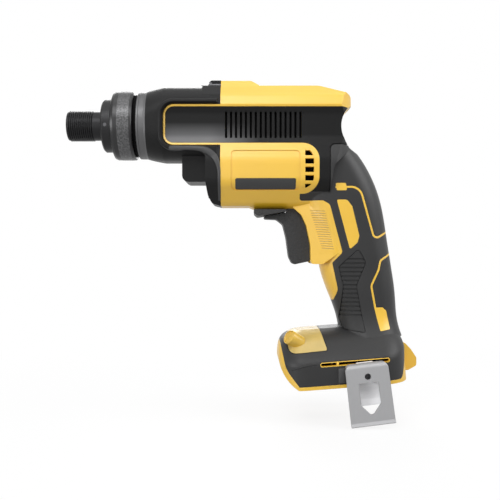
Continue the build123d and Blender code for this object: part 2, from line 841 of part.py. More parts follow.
def saddle():
    """Raised pad round the side panel's front end, which sweeps down into the flange."""
    x0, x1 = pill_front - saddle_rim, case_joint - saddle_round
    top, low = pill_top + saddle_rim, pill_bottom - saddle_rim
    corner = pill_round + saddle_rim
    pad = side_prism(((x0, top), (x1, top), (x1, saddle_low), (saddle_front, saddle_low),
                      (saddle_front, low), (x0, low)),
                     (corner, 0, 0, saddle_round, saddle_sweep, corner), saddle_half)
    rims = [edge for edge in pad.edges() if abs(abs(edge.center().Y) - saddle_half) < fit_gap]
    return fillet(rims, saddle_round)


def pocket_bevel():
    """Sloping rim of the pocket that takes the side panel's tongue, on both sides."""
    front, end = pill_front - fit_gap, case_joint + overrun
    top, low = pill_top + fit_gap, pill_bottom - fit_gap
    rim = outline(((front, top), (end, top), (end, low), (front, low)), (pill_round, 0, 0, pill_round))
    near = extrude(Plane.XZ.offset(pocket_floor) * rim, saddle_half - pocket_floor + 1, taper=-pocket_taper)
    return [near, mirror(near, about=Plane.XZ)]


def gear_case():
    middle = (flare_front + flare_rear) / 2
    width_mid = neck_radius + (case_half_width - neck_radius) * flare_mix
    height_mid = neck_radius + (case_half_height - neck_radius) * flare_mix
    flare = loft([case_ring(flare_front, neck_radius, neck_radius, neck_radius - flare_ease),
                  case_ring(middle, width_mid, height_mid, case_round + flare_ease),
                  case_ring(flare_rear, case_half_width, case_half_height, case_round)])
    barrel = extrude(case_ring(flare_rear, case_half_width, case_half_height, case_round),
                     flange_front - flare_rear)
    flange = side_prism(flange_outline, flange_radii) & head_section(flange_outline[0][0], case_joint)
    root = cap_top - bump_root
    ramp = side_prism(((bump_front, cap_top - bump_root / 2), (bump_crest, cap_block_top),
                       (case_joint, cap_block_top), (case_joint, root), (bump_front, root)),
                      (0, bump_round, 0, 0, 0), bump_half)
    chin = side_prism(((block_front, block_top), (flange_front, block_top), (flange_front, block_low),
                       (block_front, block_low)), (0, 0, 0, block_round), block_half)
    case = rod_x(neck_radius, neck_front, flare_front) + [flare, barrel, flange, ramp, chin, saddle()]
    pocket = pill(-fit_gap) - head_section(0, case_joint + 1, skin + tongue_thick + fit_gap)
    pocket &= box(0, case_joint + 1, -reach, reach, -reach, reach)
    inside = case_ring(case_cavity_front, case_inside, case_half_height - case_wall, case_inside_round)
    room = extrude(inside, case_joint - case_cavity_front + 1)
    hollow_half = block_half - block_wall
    hollow = box(block_front + block_wall, case_joint + 1, -hollow_half, hollow_half, block_low + block_wall,
                 block_top)
    nose_bore = rod_x(sleeve_radius, neck_front - 1, case_cavity_front + 1)
    cuts = [pocket, room, hollow, nose_bore] + pocket_bevel()
    for y, z in case_screws:
        seat = case_screw_front + case_screw_tall
        cuts.append(rod_x(case_screw_head + fit_gap, seat - case_screw_reach, seat, y, z))
        cuts.append(rod_x(case_screw_radius + fit_gap, case_screw_front, case_joint + 1, y, z))
    return case - cuts


def case_screw(y, z):
    seat = case_screw_front + case_screw_tall
    disc = rod_x(case_screw_head, case_screw_front, seat, y, z)
    shank = rod_x(case_screw_radius, seat, seat + case_screw_length, y, z)
    return disc + shank - rod_x(case_screw_drive, case_screw_front - 1, seat - case_screw_tall / 2, y, z)


nodes["gear_case"] = gear_case()
nodes["gear_case_screws"] = Compound([case_screw(y, z) for y, z in case_screws])


# Nose
def turned(points):
    """Solid of revolution about the spindle axis from (x, radius) points."""
    return revolve(Plane.XZ * make_face(Polyline(*points, close=True)), Axis.X)


def nose_sleeve():
    half_land = thread_pitch / 6
    bore = spindle_radius + nose_clear
    outline_points = [(0, bore), (0, thread_root)]
    for i in range(thread_turns):
        x = thread_front + i * thread_pitch
        outline_points += [(x, thread_root), (x + half_land, thread_radius),
                           (x + 3 * half_land, thread_radius), (x + 4 * half_land, thread_root)]
    end = thread_front + thread_turns * thread_pitch
    outline_points += [(end, neck_relief), (sleeve_shoulder, neck_relief), (sleeve_shoulder, sleeve_radius),
                       (case_cavity_front, sleeve_radius), (case_cavity_front, spindle_radius + bush_wall),
                       (bush_front, spindle_radius + bush_wall), (bush_front, bore)]
    return turned(outline_points)


def nose_ring():
    ring = turned(((ring_front, sleeve_radius), (ring_front, ring_radius - ring_chamfer),
                   (ring_front + ring_chamfer, ring_radius), (ring_rear, ring_radius),
                   (ring_rear, sleeve_radius)))
    return ring - set_screw(2 * set_screw_sink)


def set_screw(extra=0.0):
    middle = (ring_front + ring_rear) / 2
    depth = ring_radius - sleeve_radius - set_screw_sink + extra
    pin = Pos(0, 0, sleeve_radius + depth / 2) * Cylinder(set_screw_radius, depth)
    return Pos(middle, 0, 0) * Rot(90 + set_screw_angle, 0, 0) * pin


def around(solid, count):
    return [Rot(i * 360 / count, 0, 0) * solid for i in range(count)]


collar_front = ring_rear + move_gap
collar_floor = collar_front + collar_front_wall
nut_front = collar_floor + move_gap
nut_rear = nut_front + nut_thick


def collar():
    bore = sleeve_radius + run_gap
    corner = collar_round * 0.3
    ring = turned(((collar_front, bore), (collar_front, collar_radius - collar_round),
                   (collar_front + corner, collar_radius - corner),
                   (collar_front + collar_round, collar_radius),
                   (collar_rear - collar_edge, collar_radius), (collar_rear, collar_radius - collar_edge),
                   (collar_rear, collar_inside), (collar_floor, collar_inside), (collar_floor, bore)))
    side = lug_key_half + move_gap
    slot = box(collar_floor, collar_rear + 1, -side, side, 0, collar_inside + lug_key_tall + move_gap)
    return ring - [slot - rod_x(collar_inside - 1, 0, collar_rear + 2) for slot in around(slot, lug_count)]


def nut():
    ring = tube_x(collar_inside - move_gap, sleeve_radius + move_gap, nut_front, nut_rear)
    lug = box(nut_front, nut_rear, -lug_key_half, lug_key_half, (sleeve_radius + collar_inside) / 2,
              collar_inside + lug_key_tall)
    return ring + around(lug, lug_count)


nodes["nose_sleeve"] = nose_sleeve()
nodes["nose_ring"] = nose_ring()
nodes["ring_set_screw"] = set_screw()
nodes["torque_collar"] = collar()
nodes["torque_nut"] = nut()
nodes["torque_spring"] = tube_x(spring_radius + spring_thick, spring_radius, nut_rear + spring_gap,
                                neck_front - spring_gap)


# Gears
def tooth_angle(radius, pitch_radius, tooth_half):
    """Half angle of an involute tooth at a radius, with its pitch half angle given."""
    base = pitch_radius * cos(radians(pressure_angle))
    def spread(r):
        roll = acos(min(1.0, base / r))
        return tan(roll) - roll
    return tooth_half + spread(pitch_radius) - spread(max(radius, base))


def gear(teeth, x0, x1, bore, turn=0.0):
    pitch_radius = gear_module * teeth / 2
    tip = pitch_radius + addendum * gear_module
    root = pitch_radius - dedendum * gear_module
    tooth_half = pi / (2 * teeth) - backlash / (2 * 2 * pitch_radius)
    base = pitch_radius * cos(radians(pressure_angle))
    low = max(root, base)
    flank = [low + (tip - low) * k / 4 for k in range(5)]
    points = []
    for i in range(teeth):
        middle = 2 * pi * i / teeth + radians(turn)
        sides = [(root, tooth_angle(low, pitch_radius, tooth_half))] if root < low else []
        sides += [(r, tooth_angle(r, pitch_radius, tooth_half)) for r in flank]
        points += [(r * cos(middle - a), r * sin(middle - a)) for r, a in sides]
        points += [(r * cos(middle + a), r * sin(middle + a)) for r, a in reversed(sides)]
    blank = extrude(Plane.YZ.offset(x0) * make_face(Polyline(*points, close=True)), x1 - x0)
    return blank - rod_x(bore, x0 - 1, x1 + 1)


gear_rear = gear_front + gear_width
gear_down = 270.0
pinion_up = 90.0 + 180.0 / pinion_teeth
nodes["spindle_gear"] = gear(gear_teeth, gear_front, gear_rear, spindle_radius, gear_down)
pinion_rear = gear_rear + pinion_overhang
nodes["motor_pinion"] = Pos(0, 0, -axis_drop) * gear(pinion_teeth, gear_front - pinion_overhang / 2,
                                                     pinion_rear, pinion_bore, pinion_up)


def spindle():
    tail_start = plate_front + tail_step
    end = plate_front + bearing_setback + bearing_width - tail_step / 2
    shaft = rod_x(spindle_radius, spindle_front, tail_start) + rod_x(spindle_tail, tail_start - 1, end)
    hexagon = Plane.YZ.offset(spindle_front - 1) * RegularPolygon(hex_flats / 2, 6, major_radius=False)
    socket = extrude(hexagon, hex_depth + 1)
    groove = tube_x(spindle_radius + 1, spindle_radius - clip_wire, clip_groove,
                    clip_groove + clip_wire + 2 * clip_ease)
    return shaft - [socket, groove]


def spring_clip():
    front = clip_groove + clip_ease
    ring = tube_x(spindle_radius + clip_stand, spindle_radius - clip_wire, front, front + clip_wire)
    return ring - box(0, front + clip_wire + 1, -clip_slot, clip_slot, 0, spindle_radius * 2)


def clutch_plate():
    plate = tube_x(clutch_radius, spindle_radius, clutch_front, clutch_front + clutch_thick)
    pocket = rod_x(ball_radius + ball_ease, clutch_front + ball_floor, gear_front, ball_circle)
    return plate - around(pocket, ball_count)


ball = Pos(gear_front - ball_radius - ball_ease, ball_circle, 0) * Sphere(ball_radius)
nodes["output_spindle"] = spindle()
nodes["bit_clip"] = spring_clip()
nodes["clutch_plate"] = clutch_plate()
nodes["clutch_balls"] = Compound(around(ball, ball_count))
nodes["spindle_bush"] = tube_x(spindle_radius + bush_wall, spindle_radius + run_gap, bush_front, bush_rear)


def bearing(outer_radius, inner_radius, x0, z=0.0):
    ring = tube_x(outer_radius, inner_radius, x0, x0 + bearing_width, z)
    middle = (outer_radius + inner_radius) / 2
    return ring - tube_x(middle + bearing_shield, middle - bearing_shield, x0 - 1, x0 + bearing_dish, z)


def bearing_plate():
    rim = case_ring(plate_front, case_inside - press_gap, case_half_height - case_wall - press_gap,
                    case_inside_round - press_gap)
    plate = extrude(rim, plate_rear - plate_front)
    bores = [rod_x(spindle_bearing_radius, plate_front - 1, plate_front + bearing_setback + bearing_width),
             rod_x(front_bearing_radius, front_bearing_face, plate_rear + 1, z=-axis_drop),
             rod_x(front_bearing_radius - bearing_lip, plate_front - 1, plate_rear, z=-axis_drop)]
    return plate - bores


nodes["bearing_plate"] = bearing_plate()
nodes["spindle_bearing"] = bearing(spindle_bearing_radius, spindle_tail + run_gap,
                                   plate_front + bearing_setback)
nodes["front_motor_bearing"] = bearing(front_bearing_radius, shaft_radius + run_gap, front_bearing_face,
                                       -axis_drop)
nodes["rear_motor_bearing"] = bearing(rear_bearing_radius, shaft_radius + run_gap, rear_bearing_front,
                                      -axis_drop)


# Motor
stator_rear = stator_front + stator_length


def on_motor(solid):
    return Pos(0, 0, -axis_drop) * solid


def shaft():
    bar = rod_x(shaft_radius, pinion_rear, shaft_rear)
    return on_motor(bar + rod_x(pinion_bore, shaft_front, pinion_rear + 1))


def magnets():
    ring = tube_x(rotor_radius, rotor_radius - magnet_thick, rotor_front, rotor_rear)
    gap = box(rotor_front, rotor_rear, -magnet_gap, magnet_gap, 0, rotor_radius + 1)
    return [on_motor(piece) for piece in (ring - around(gap, magnet_count)).solids()]


def fan():
    rear = fan_front + fan_width
    hub = tube_x(fan_hub, shaft_radius, fan_front, rear)
    disc = tube_x(fan_radius, shaft_radius + 1, rear - fan_blade, rear)
    blade = box(fan_front, rear - fan_blade / 2, -fan_blade / 2, fan_blade / 2, fan_hub - 1,
                fan_radius - fan_blade)
    return on_motor(hub + [disc] + around(blade, fan_blades))


def stator():
    front, rear = stator_front - 1, stator_rear + 1
    slot = box(front, rear, -slot_half, slot_half, stator_bore + tooth_tip, stator_radius - stator_back)
    slot += box(front, rear, -slot_mouth, slot_mouth, stator_bore - 1, stator_bore + 2 * tooth_tip)
    ring = tube_x(stator_radius, stator_bore, stator_front, stator_rear)
    return on_motor(ring - around(slot, stator_teeth))


coil_radius = stator_radius - coil_back


def windings():
    ends = ((stator_front - coil_overhang, stator_front), (stator_rear, stator_rear + coil_overhang))
    return [on_motor(tube_x(coil_radius, stator_bore + coil_inset, x0, x1)) for x0, x1 in ends]


rotor_front = stator_front + rotor_inset
rotor_rear = stator_rear - rotor_inset
board_front = stator_rear + coil_overhang
nodes["rotor_shaft"] = shaft()
nodes["rotor_core"] = on_motor(tube_x(rotor_radius - magnet_thick, shaft_radius, rotor_front, rotor_rear))
nodes["rotor_magnets"] = Compound(magnets())
nodes["motor_fan"] = fan()
nodes["motor_stator"] = stator()
nodes["motor_windings"] = Compound(windings())
nodes["sensor_board"] = on_motor(tube_x(stator_radius - board_inset, shaft_radius + board_clear,
                                        board_front, board_front + board_thick))


# Controls
def forward_reverse_button():
    bar = side_prism(button_outline, button_radii, button_half)
    x0, x1 = button_stem
    ceiling = belly_bottom + skin + wall + move_gap
    top = ceiling + button_keeper
    stem = box(x0, x1, -button_stem_half, button_stem_half, button_outline[2][1], top)
    keeper = box(x0 - button_flange, x1 + button_flange, -button_stem_half, button_stem_half, ceiling, top)
    return bar + [stem, keeper]


def switch():
    x0, x1, z0, z1 = switch_box
    case = box(x0, x1, -switch_half, switch_half, z0, z1)
    return case - rod_x(plunger_radius + move_gap, x0 - 1, x0 + plunger_bore, z=plunger_height)


trigger_back = trigger_outline[8][0]
coil_inner = plunger_radius + trigger_coil
nodes["trigger"] = side_prism(trigger_outline, trigger_radii, trigger_half)
nodes["trigger_plunger"] = rod_x(plunger_radius, trigger_back, switch_box[0] + plunger_reach,
                                 z=plunger_height)
nodes["trigger_spring"] = tube_x(coil_inner + trigger_coil_thick, coil_inner, trigger_back + spring_gap,
                                 switch_box[0] - spring_gap, plunger_height)
nodes["trigger_switch"] = switch()
nodes["direction_button"] = forward_reverse_button()
nodes["control_module"] = box(module_box[0], module_box[1], -module_half, module_half, module_box[2],
                              module_box[3])


# Foot
def in_foot(u, v, w, *sizes):
    return foot_frame * Pos(u, v, w) * Box(*sizes)


def light():
    u0, u1 = light_board
    middle = (u0 + u1) / 2
    top = light_height + light_card
    card = in_foot(middle, 0, light_height + light_card / 2, u1 - u0, 2 * light_board_half, light_card)
    return card + in_foot(middle, 0, top + light_tall / 2, light_size, light_size, light_tall)


def terminal_blades():
    first = terminal_half - blade_edge
    pitch = 2 * first / (blade_count - 1)
    low = floor_height - terminal_height - blade_drop / 2
    return [in_foot(blade_middle, -first + i * pitch, low, blade_length, blade_thick, blade_drop)
            for i in range(blade_count)]


def lead(points):
    """Round wire along a path, with each bend as wide as its shorter neighbour allows."""
    radii = []
    for a, b, c in zip(points, points[1:], points[2:]):
        first, second = Vector(*b) - Vector(*a), Vector(*c) - Vector(*b)
        turn = radians(first.get_angle(second))
        radii.append(lead_bend * min(first.length, second.length) / tan(turn / 2))
    path = FilletPolyline(*points, radius=radii)
    start = Plane(origin=path @ 0, z_dir=path % 0)
    return sweep(start * Circle(lead_radius), path=path)


def power_lead(y):
    start = foot_frame.from_local_coords((floor_hole_rear, 0, floor_height))
    out = foot_frame.from_local_coords((floor_hole_rear, 0, floor_height + floor_hole_rear))
    last = power_lead_path[-1][0]
    middle = [(x, y, z) for x, z in power_lead_path]
    return lead([(start.X, y, start.Z), (out.X, y, out.Z)] + middle + [(last, y, switch_box[2])])


def switch_lead(y):
    last = switch_lead_path[-1][0]
    middle = [(x, y, z) for x, z in switch_lead_path]
    return lead([(module_box[1], y, switch_lead_height)] + middle + [(last, y, switch_box[3])])


def motor_lead(y):
    inner_edge = max(abs(y) - lead_radius, 0)
    high = -axis_drop - sqrt(coil_radius ** 2 - inner_edge ** 2)
    low = module_box[3]
    return Pos(stator_rear + coil_overhang / 2, y, (low + high) / 2) * Cylinder(lead_radius, high - low)


nodes["light_lens"] = (foot() - foot(lens_thick)) & lens_zone(fit_gap)
nodes["light_board"] = light()
nodes["terminal_block"] = in_foot(terminal_middle, 0, floor_height - terminal_height / 2, terminal_length,
                                  2 * terminal_half, terminal_height)
nodes["battery_terminals"] = Compound(terminal_blades())
nodes["power_leads"] = Compound([power_lead(y) for y in (-power_lead_half, power_lead_half)])
nodes["switch_leads"] = Compound([switch_lead(y) for y in (-switch_lead_half, switch_lead_half)])
nodes["motor_leads"] = Compound([motor_lead(y) for y in (-motor_lead_pitch, 0, motor_lead_pitch)])


# Belt hook
def side_plate(points, radii):
    return extrude(Plane.XZ * outline(points, radii), reach, both=True)


def belt_hook():
    inner = foot_half + hook_sheet / 2
    face = inner + hook_sheet + hook_standoff
    path = FilletPolyline((-inner - tongue_kick, -tongue_drop), (-inner, -tongue_drop + tongue_crease),
                          (-inner, -hook_sheet / 2), (-face, -hook_sheet / 2),
                          (-face, -hook_drop + hook_kick_drop), (-face - hook_kick, -hook_drop),
                          radius=[hook_bend] * 4)
    section_plane = Plane(origin=(0, 0, 0), x_dir=(0, 1, 0), z_dir=(1, 0, 0))
    sheet = extrude(section_plane * trace(path, hook_sheet), reach / 2, both=True)
    low = -hook_drop - hook_sheet
    plate = side_plate(((-hook_top_half, fit_gap), (hook_top_half, fit_gap), (hook_low_half, low),
                        (-hook_low_half, low)), (hook_round, hook_round, hook_lip, hook_lip))
    half, neck, foot_end = tongue_half, hook_neck_half, -tongue_drop - hook_sheet
    tongue = side_plate(((-neck, hook_sheet), (neck, hook_sheet), (neck, -tongue_shoulder),
                         (half, -tongue_neck), (half, foot_end), (-half, foot_end), (-half, -tongue_neck),
                         (-neck, -tongue_shoulder)),
                        (0, 0, 1, 1, hook_lip, hook_lip, 1, 1))
    window = side_plate(((-window_half, -window_top), (window_half, -window_top),
                         (window_half, -window_low), (0, -window_point), (-window_half, -window_low)),
                        (1, 1, 2, hook_lip, 2))
    split = inner + hook_sheet / 2 + tongue_kick + fit_gap
    outside = box(-reach, reach, -reach, -split, -reach, reach)
    shape = (sheet & plate & outside) + ((sheet & tongue) - outside)
    shape -= [window & outside, rod_y(hook_access, 0, -hook_hole_drop, -reach, -split),
              rod_y(hook_screw_radius + fit_gap, 0, -hook_hole_drop, -split, 0)]
    shape += box(-tab_half, tab_half, -inner - 2 * hook_bend, -foot_half + tab_depth, -tab_thick, 0)
    return Pos(hook_seat[0], 0, hook_seat[1]) * Rot(0, -hook_tilt, 0) * shape


def hook_screw():
    face = -(foot_half + hook_sheet)
    bolt = rod_y(hook_screw_head, hook_x, hook_z, face - hook_screw_tall, face)
    bolt += rod_y(hook_screw_radius, hook_x, hook_z, face, face + hook_screw_length)
    floor = face - hook_screw_tall + hook_screw_socket
    return bolt - rod_y(screw_drive, hook_x, hook_z, face - reach, floor)


nodes["belt_hook"] = belt_hook()
nodes["belt_hook_screw"] = hook_screw()

if __name__ == "__main__":
    os.makedirs("parts", exist_ok=True)
    for name, solid in nodes.items():
        export_step(solid, f"parts/{name}.step")
        print(name, round(solid.volume), len(solid.solids()), solid.is_valid)
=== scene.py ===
# %% [markdown]
# This lesson dresses a cordless screw gun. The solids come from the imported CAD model, in metres, with the
# nose tip at the origin, +X to the rear and +Z up. Blender adds the finishes, the small moulded details
# and the wound pieces that plain solids only stand in for. Nothing here moves or resizes a solid.

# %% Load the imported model
import math

import bmesh
import bpy
from mathutils import Matrix, Vector
from mathutils.bvhtree import BVHTree


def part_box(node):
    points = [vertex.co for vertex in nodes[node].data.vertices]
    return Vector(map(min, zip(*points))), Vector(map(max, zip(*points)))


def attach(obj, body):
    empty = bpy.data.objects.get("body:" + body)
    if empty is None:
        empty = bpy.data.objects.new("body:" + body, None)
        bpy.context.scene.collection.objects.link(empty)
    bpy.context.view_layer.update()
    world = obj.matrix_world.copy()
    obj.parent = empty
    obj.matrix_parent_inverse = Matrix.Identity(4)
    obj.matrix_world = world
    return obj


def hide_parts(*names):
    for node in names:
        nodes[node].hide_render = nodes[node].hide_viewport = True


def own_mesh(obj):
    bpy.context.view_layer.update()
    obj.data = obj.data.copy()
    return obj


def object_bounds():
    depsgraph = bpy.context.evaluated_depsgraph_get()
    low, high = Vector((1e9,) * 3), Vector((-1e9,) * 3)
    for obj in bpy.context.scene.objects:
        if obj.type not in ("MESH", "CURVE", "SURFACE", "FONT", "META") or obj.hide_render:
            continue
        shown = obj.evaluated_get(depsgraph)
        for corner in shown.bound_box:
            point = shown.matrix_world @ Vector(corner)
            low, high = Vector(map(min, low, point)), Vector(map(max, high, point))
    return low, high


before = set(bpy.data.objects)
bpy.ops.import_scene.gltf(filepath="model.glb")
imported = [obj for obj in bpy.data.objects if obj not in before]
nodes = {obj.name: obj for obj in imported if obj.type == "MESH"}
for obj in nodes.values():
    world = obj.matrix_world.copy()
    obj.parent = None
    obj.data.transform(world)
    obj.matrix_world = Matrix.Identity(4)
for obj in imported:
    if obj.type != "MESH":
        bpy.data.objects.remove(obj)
cad_low, cad_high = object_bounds()

# %% [markdown]
# Moulded plastic, rubber and steel differ in small things: grain, sheen and how light breaks on them. In
# Blender a finish is a graph of nodes. It could be wired link by link, but sums read better as plain
# maths. So a small class wraps an output socket, and an expression on such values adds its Math nodes.


# %% Shader maths
class Value:
    """An output socket that can be added, multiplied and compared."""

    def __init__(self, owner, socket):
        self.owner = owner
        self.socket = socket

    def maths(self, operation, first, second):
        return self.owner.node("Math", {0: first, 1: second}, operation=operation)

    def __add__(self, other):
        return self.maths("ADD", self, other)

    def __radd__(self, other):
        return self.maths("ADD", other, self)

    def __sub__(self, other):
        return self.maths("SUBTRACT", self, other)

    def __rsub__(self, other):
        return self.maths("SUBTRACT", other, self)

    def __mul__(self, other):
        return self.maths("MULTIPLY", self, other)

    def __rmul__(self, other):
        return self.maths("MULTIPLY", other, self)

    def __gt__(self, other):
        return self.maths("GREATER_THAN", self, other)

    def __lt__(self, other):
        return self.maths("LESS_THAN", self, other)


def between(value, low, high):
    """1 where the value lies between two limits, 0 elsewhere."""
    return (value > low) * (value < high)


def spread(value, low, high):
    """A 0 to 1 value carried to another range."""
    return value * (high - low) + low


print("shader maths ready")

# %% [markdown]
# Every other node comes from one method. It takes the node's type, its settings, which are set first, and
# what goes into its sockets: a number, a colour or another value. The materials and the world both use
# it.


# %% One method for every node
class Nodes:
    """A node tree that nodes are added to."""

    def __init__(self, tree):
        self.tree = tree

    def node(self, kind, sockets=None, output=0, **settings):
        made = self.tree.nodes.new("ShaderNode" + kind)
        for key, value in settings.items():
            setattr(made, key, value)
        for key, value in (sockets or {}).items():
            self.fill(made.inputs[key], value)
        return Value(self, made.outputs[output])

    def fill(self, socket, value):
        """Link a value to a socket, or set the socket to a number or a colour."""
        if isinstance(value, Value):
            self.tree.links.new(value.socket, socket)
        else:
            socket.default_value = value


print("shader node types", sum(kind.startswith("ShaderNode") for kind in dir(bpy.types)))

# %% [markdown]
# A finish is a Principled shader with its own nodes. They read Object coordinates, so grain has its real
# size in metres and stays put when a piece moves. Image textures would need unwrapped meshes, and meshes
# from CAD aren't unwrapped. A Bevel node under the bump rounds the edges a little, as a mould does.

# %% Finishes
EDGE = 0.0004
EDGE_SAMPLES = 4


class Finish(Nodes):
    """One material: its shader and the nodes that feed it."""

    def __init__(self, name, **constants):
        self.material = bpy.data.materials.new(name)
        self.material.use_nodes = True
        super().__init__(self.material.node_tree)
        self.shader = self.tree.nodes["Principled BSDF"]
        for key, value in constants.items():
            self.shader.inputs[key.replace("_", " ")].default_value = value
        self.place = self.node("TexCoord", output="Object")

    def feed(self, key, value):
        self.fill(self.shader.inputs[key], value)

    def stretched(self, scale):
        return self.node("Mapping", {"Vector": self.place, "Scale": scale})

    def noise(self, size, detail=2.0, vector=None):
        """Noise with blobs of about the given size in metres."""
        place = vector or self.place
        return self.node("TexNoise", {"Vector": place, "Scale": 1 / size, "Detail": detail}, output="Fac")

    def speckle(self, size):
        return self.node("TexVoronoi", {"Vector": self.place, "Scale": 1 / size}, output="Distance")

    def axis(self, name):
        return self.node("SeparateXYZ", {"Vector": self.place}, output=name)

    def rising(self, value, start, end):
        """0 up to the start, 1 from the end on."""
        return self.node("MapRange", {"Value": value, "From Min": start, "From Max": end})

    def blend(self, factor, first, second):
        """A colour between two others."""
        return self.node("Mix", {"Factor": factor, 6: first, 7: second}, output=2, data_type="RGBA")

    def bump(self, height, depth, edge=EDGE):
        """Grain of the given depth, over edges softened to the given radius."""
        soft = self.node("Bevel", {"Radius": edge}, samples=EDGE_SAMPLES)
        made = self.node("Bump", {"Height": height, "Distance": depth, "Normal": soft}, output="Normal")
        self.feed("Normal", made)


def grey(level):
    return (level, level, level * 1.02, 1.0)


print("edges softened by", EDGE)

# %% [markdown]
# The yellow shells are satin moulded plastic. Under studio light they run from pale at the crests to deep
# amber in the folds, which the lights give. So the finish itself is one rich yellow with a strong sheen,
# a faint cloud of variation and the fine spark-eroded grain of a mould. Ribs on the grip take the same
# plastic with painted shade in their grooves, darkened by an attribute that says how deep each point lies
# in a groove.

# %% Yellow shell finish
YELLOW = (0.88, 0.53, 0.012, 1.0)
YELLOW_DEEP = (0.82, 0.475, 0.01, 1.0)
GROOVE_PAINTED_SHADE = (0.16, 0.075, 0.008, 1.0)


def yellow_plastic(name):
    finish = Finish(name, Specular_IOR_Level=0.9, IOR=1.6)
    finish.colour = finish.blend(finish.noise(0.03, 3.0), YELLOW, YELLOW_DEEP)
    finish.feed("Base Color", finish.colour)
    finish.feed("Roughness", spread(finish.noise(0.002), 0.34, 0.46))
    finish.bump(finish.noise(0.0007, 3.0), 0.00004)
    return finish


def painted_groove_shade_plastic(name):
    """The same yellow, with painted shade darkening its grooves."""
    finish = yellow_plastic(name)
    depth = finish.node("Attribute", output="Fac", attribute_name="groove")
    # Painted shade: each point darkens towards brown by how deep it lies in a groove.
    finish.feed("Base Color", finish.blend(depth, finish.colour, GROOVE_PAINTED_SHADE))
    return finish


yellow = yellow_plastic("yellow_plastic")
painted_groove_shade_yellow = painted_groove_shade_plastic("painted_groove_shade_plastic")
print("yellow", yellow.material.name, painted_groove_shade_yellow.material.name)

# %% [markdown]
# The black pieces are different things on the real tool: a soft overmould that scatters light, rough
# controls, smooth plates and beads. One flat black would make them all alike. They share a recipe of two
# tones in a faint cloud, with different grain sizes, depths and gloss, so each one catches the light in
# its own way.

# %% Black finishes
CLOUD = 0.025
SOFT_EDGE = 0.0012


def tones(level):
    """The darker and the paler tone of a black."""
    return level * 0.85, level * 1.2


def black_finish(name, pair, rough, grain, depth, edge=EDGE, **constants):
    dark, pale = pair
    finish = Finish(name, **constants)
    finish.colour = finish.blend(finish.noise(CLOUD, 3.0), grey(dark), grey(pale))
    finish.feed("Base Color", finish.colour)
    finish.feed("Roughness", spread(finish.noise(grain * 3), rough - 0.07, rough + 0.07))
    finish.bump(finish.noise(grain, 3.0), depth, edge)
    return finish


soft_black = black_finish("soft_black", tones(0.017), 0.46, 0.0005, 0.00005, SOFT_EDGE,
                          Specular_IOR_Level=0.36)
pad_black = black_finish("pad_black", tones(0.022), 0.55, 0.0006, 0.00006, Specular_IOR_Level=0.3)
control_black = black_finish("control_black", tones(0.03), 0.55, 0.0012, 0.0005, Specular_IOR_Level=0.3)
# Painted highlight: the bosses are paler than the rubber they grow from, for the light on their faces.
boss_highlight_black = black_finish("boss_highlight_black", tones(0.034), 0.5, 0.0005, 0.00005)
# Painted highlight: the case bead is paler than the case it belongs to, for the light it catches.
bead_highlight_black = black_finish("bead_highlight_black", tones(0.03), 0.45, 0.0008, 0.00005)
plate_black = black_finish("plate_black", tones(0.02), 0.4, 0.0004, 0.00002)
# Painted shade: a near-black for the screens, linings and ring that make openings and gaps read dark.
painted_shade_black = black_finish("painted_shade_black", tones(0.004), 0.8, 0.0006, 0.00005, Specular_IOR_Level=0.1)
module_grey = black_finish("module_grey", tones(0.08), 0.5, 0.001, 0.00004)
print("soft edge of the overmould", SOFT_EDGE)

# %% [markdown]
# Two black pieces change along the tool. The side panel is deep satin, with a painted silvery sheen low
# on its front end, and the gear case is a coated casting whose neck is left as turned metal. Position
# along an axis picks these places out, so no mesh has to be split.

# %% Panel and gear case finishes
PAINTED_SHEEN_TOP, PAINTED_SHEEN_LOW = -0.001, -0.014
PAINTED_SHEEN_REAR, PAINTED_SHEEN_FRONT = 0.150, 0.112
NECK_REAR = 0.0635
PANEL_TONES = (0.004, 0.006)
CASE_TONES = (0.009, 0.013)


def panel_finish():
    finish = black_finish("panel_black", PANEL_TONES, 0.38, 0.0006, 0.00004, Specular_IOR_Level=0.16)
    low = finish.rising(finish.axis("Z"), PAINTED_SHEEN_TOP, PAINTED_SHEEN_LOW)
    ahead = finish.rising(finish.axis("X"), PAINTED_SHEEN_REAR, PAINTED_SHEEN_FRONT)
    # Painted sheen: the base turns pale grey low on the front end, a painted highlight.
    finish.feed("Base Color", finish.blend(low * ahead, finish.colour, grey(0.17)))
    return finish


def case_finish():
    finish = black_finish("case_black", CASE_TONES, 0.42, 0.0008, 0.00005, Specular_IOR_Level=0.14)
    neck = finish.axis("X") < NECK_REAR
    finish.feed("Base Color", finish.blend(neck, finish.colour, grey(0.11)))
    finish.feed("Metallic", neck * 0.8)
    return finish


panel_black = panel_finish()
case_black = case_finish()
print("neck ends at", NECK_REAR)

# %% [markdown]
# The torque collar carries a band of fine speckled texture between two smooth margins, so fingers can
# turn it. The band could be a second material on faces of its own, but the CAD mesh is left alone. So it
# is picked out by position along the tool's axis, and Voronoi cells give its speckle.

# %% Collar finish
BAND_FRONT, BAND_REAR = 0.0420, 0.0510


def collar_finish():
    finish = Finish("collar_black", Metallic=0.8)
    dots = finish.speckle(0.0011) * between(finish.axis("X"), BAND_FRONT, BAND_REAR)
    finish.feed("Base Color", finish.blend(dots, grey(0.035), grey(0.15)))
    finish.feed("Roughness", spread(finish.noise(0.02), 0.28, 0.36))
    finish.bump(dots + finish.noise(0.0006) * 0.2, 0.00006)
    return finish


collar_black = collar_finish()
print("band width", round(BAND_REAR - BAND_FRONT, 4))

# %% [markdown]
# Turned steel shows fine rings round its axis. An anisotropic shader would only stretch the highlights,
# so the noise is squeezed along X and stretched across it, and the rings show in the colour and the
# gloss. The motor's cores are stacked from thin sheet, so their lines lie closer. Castings, wires and
# blades take the same recipe with even grain.

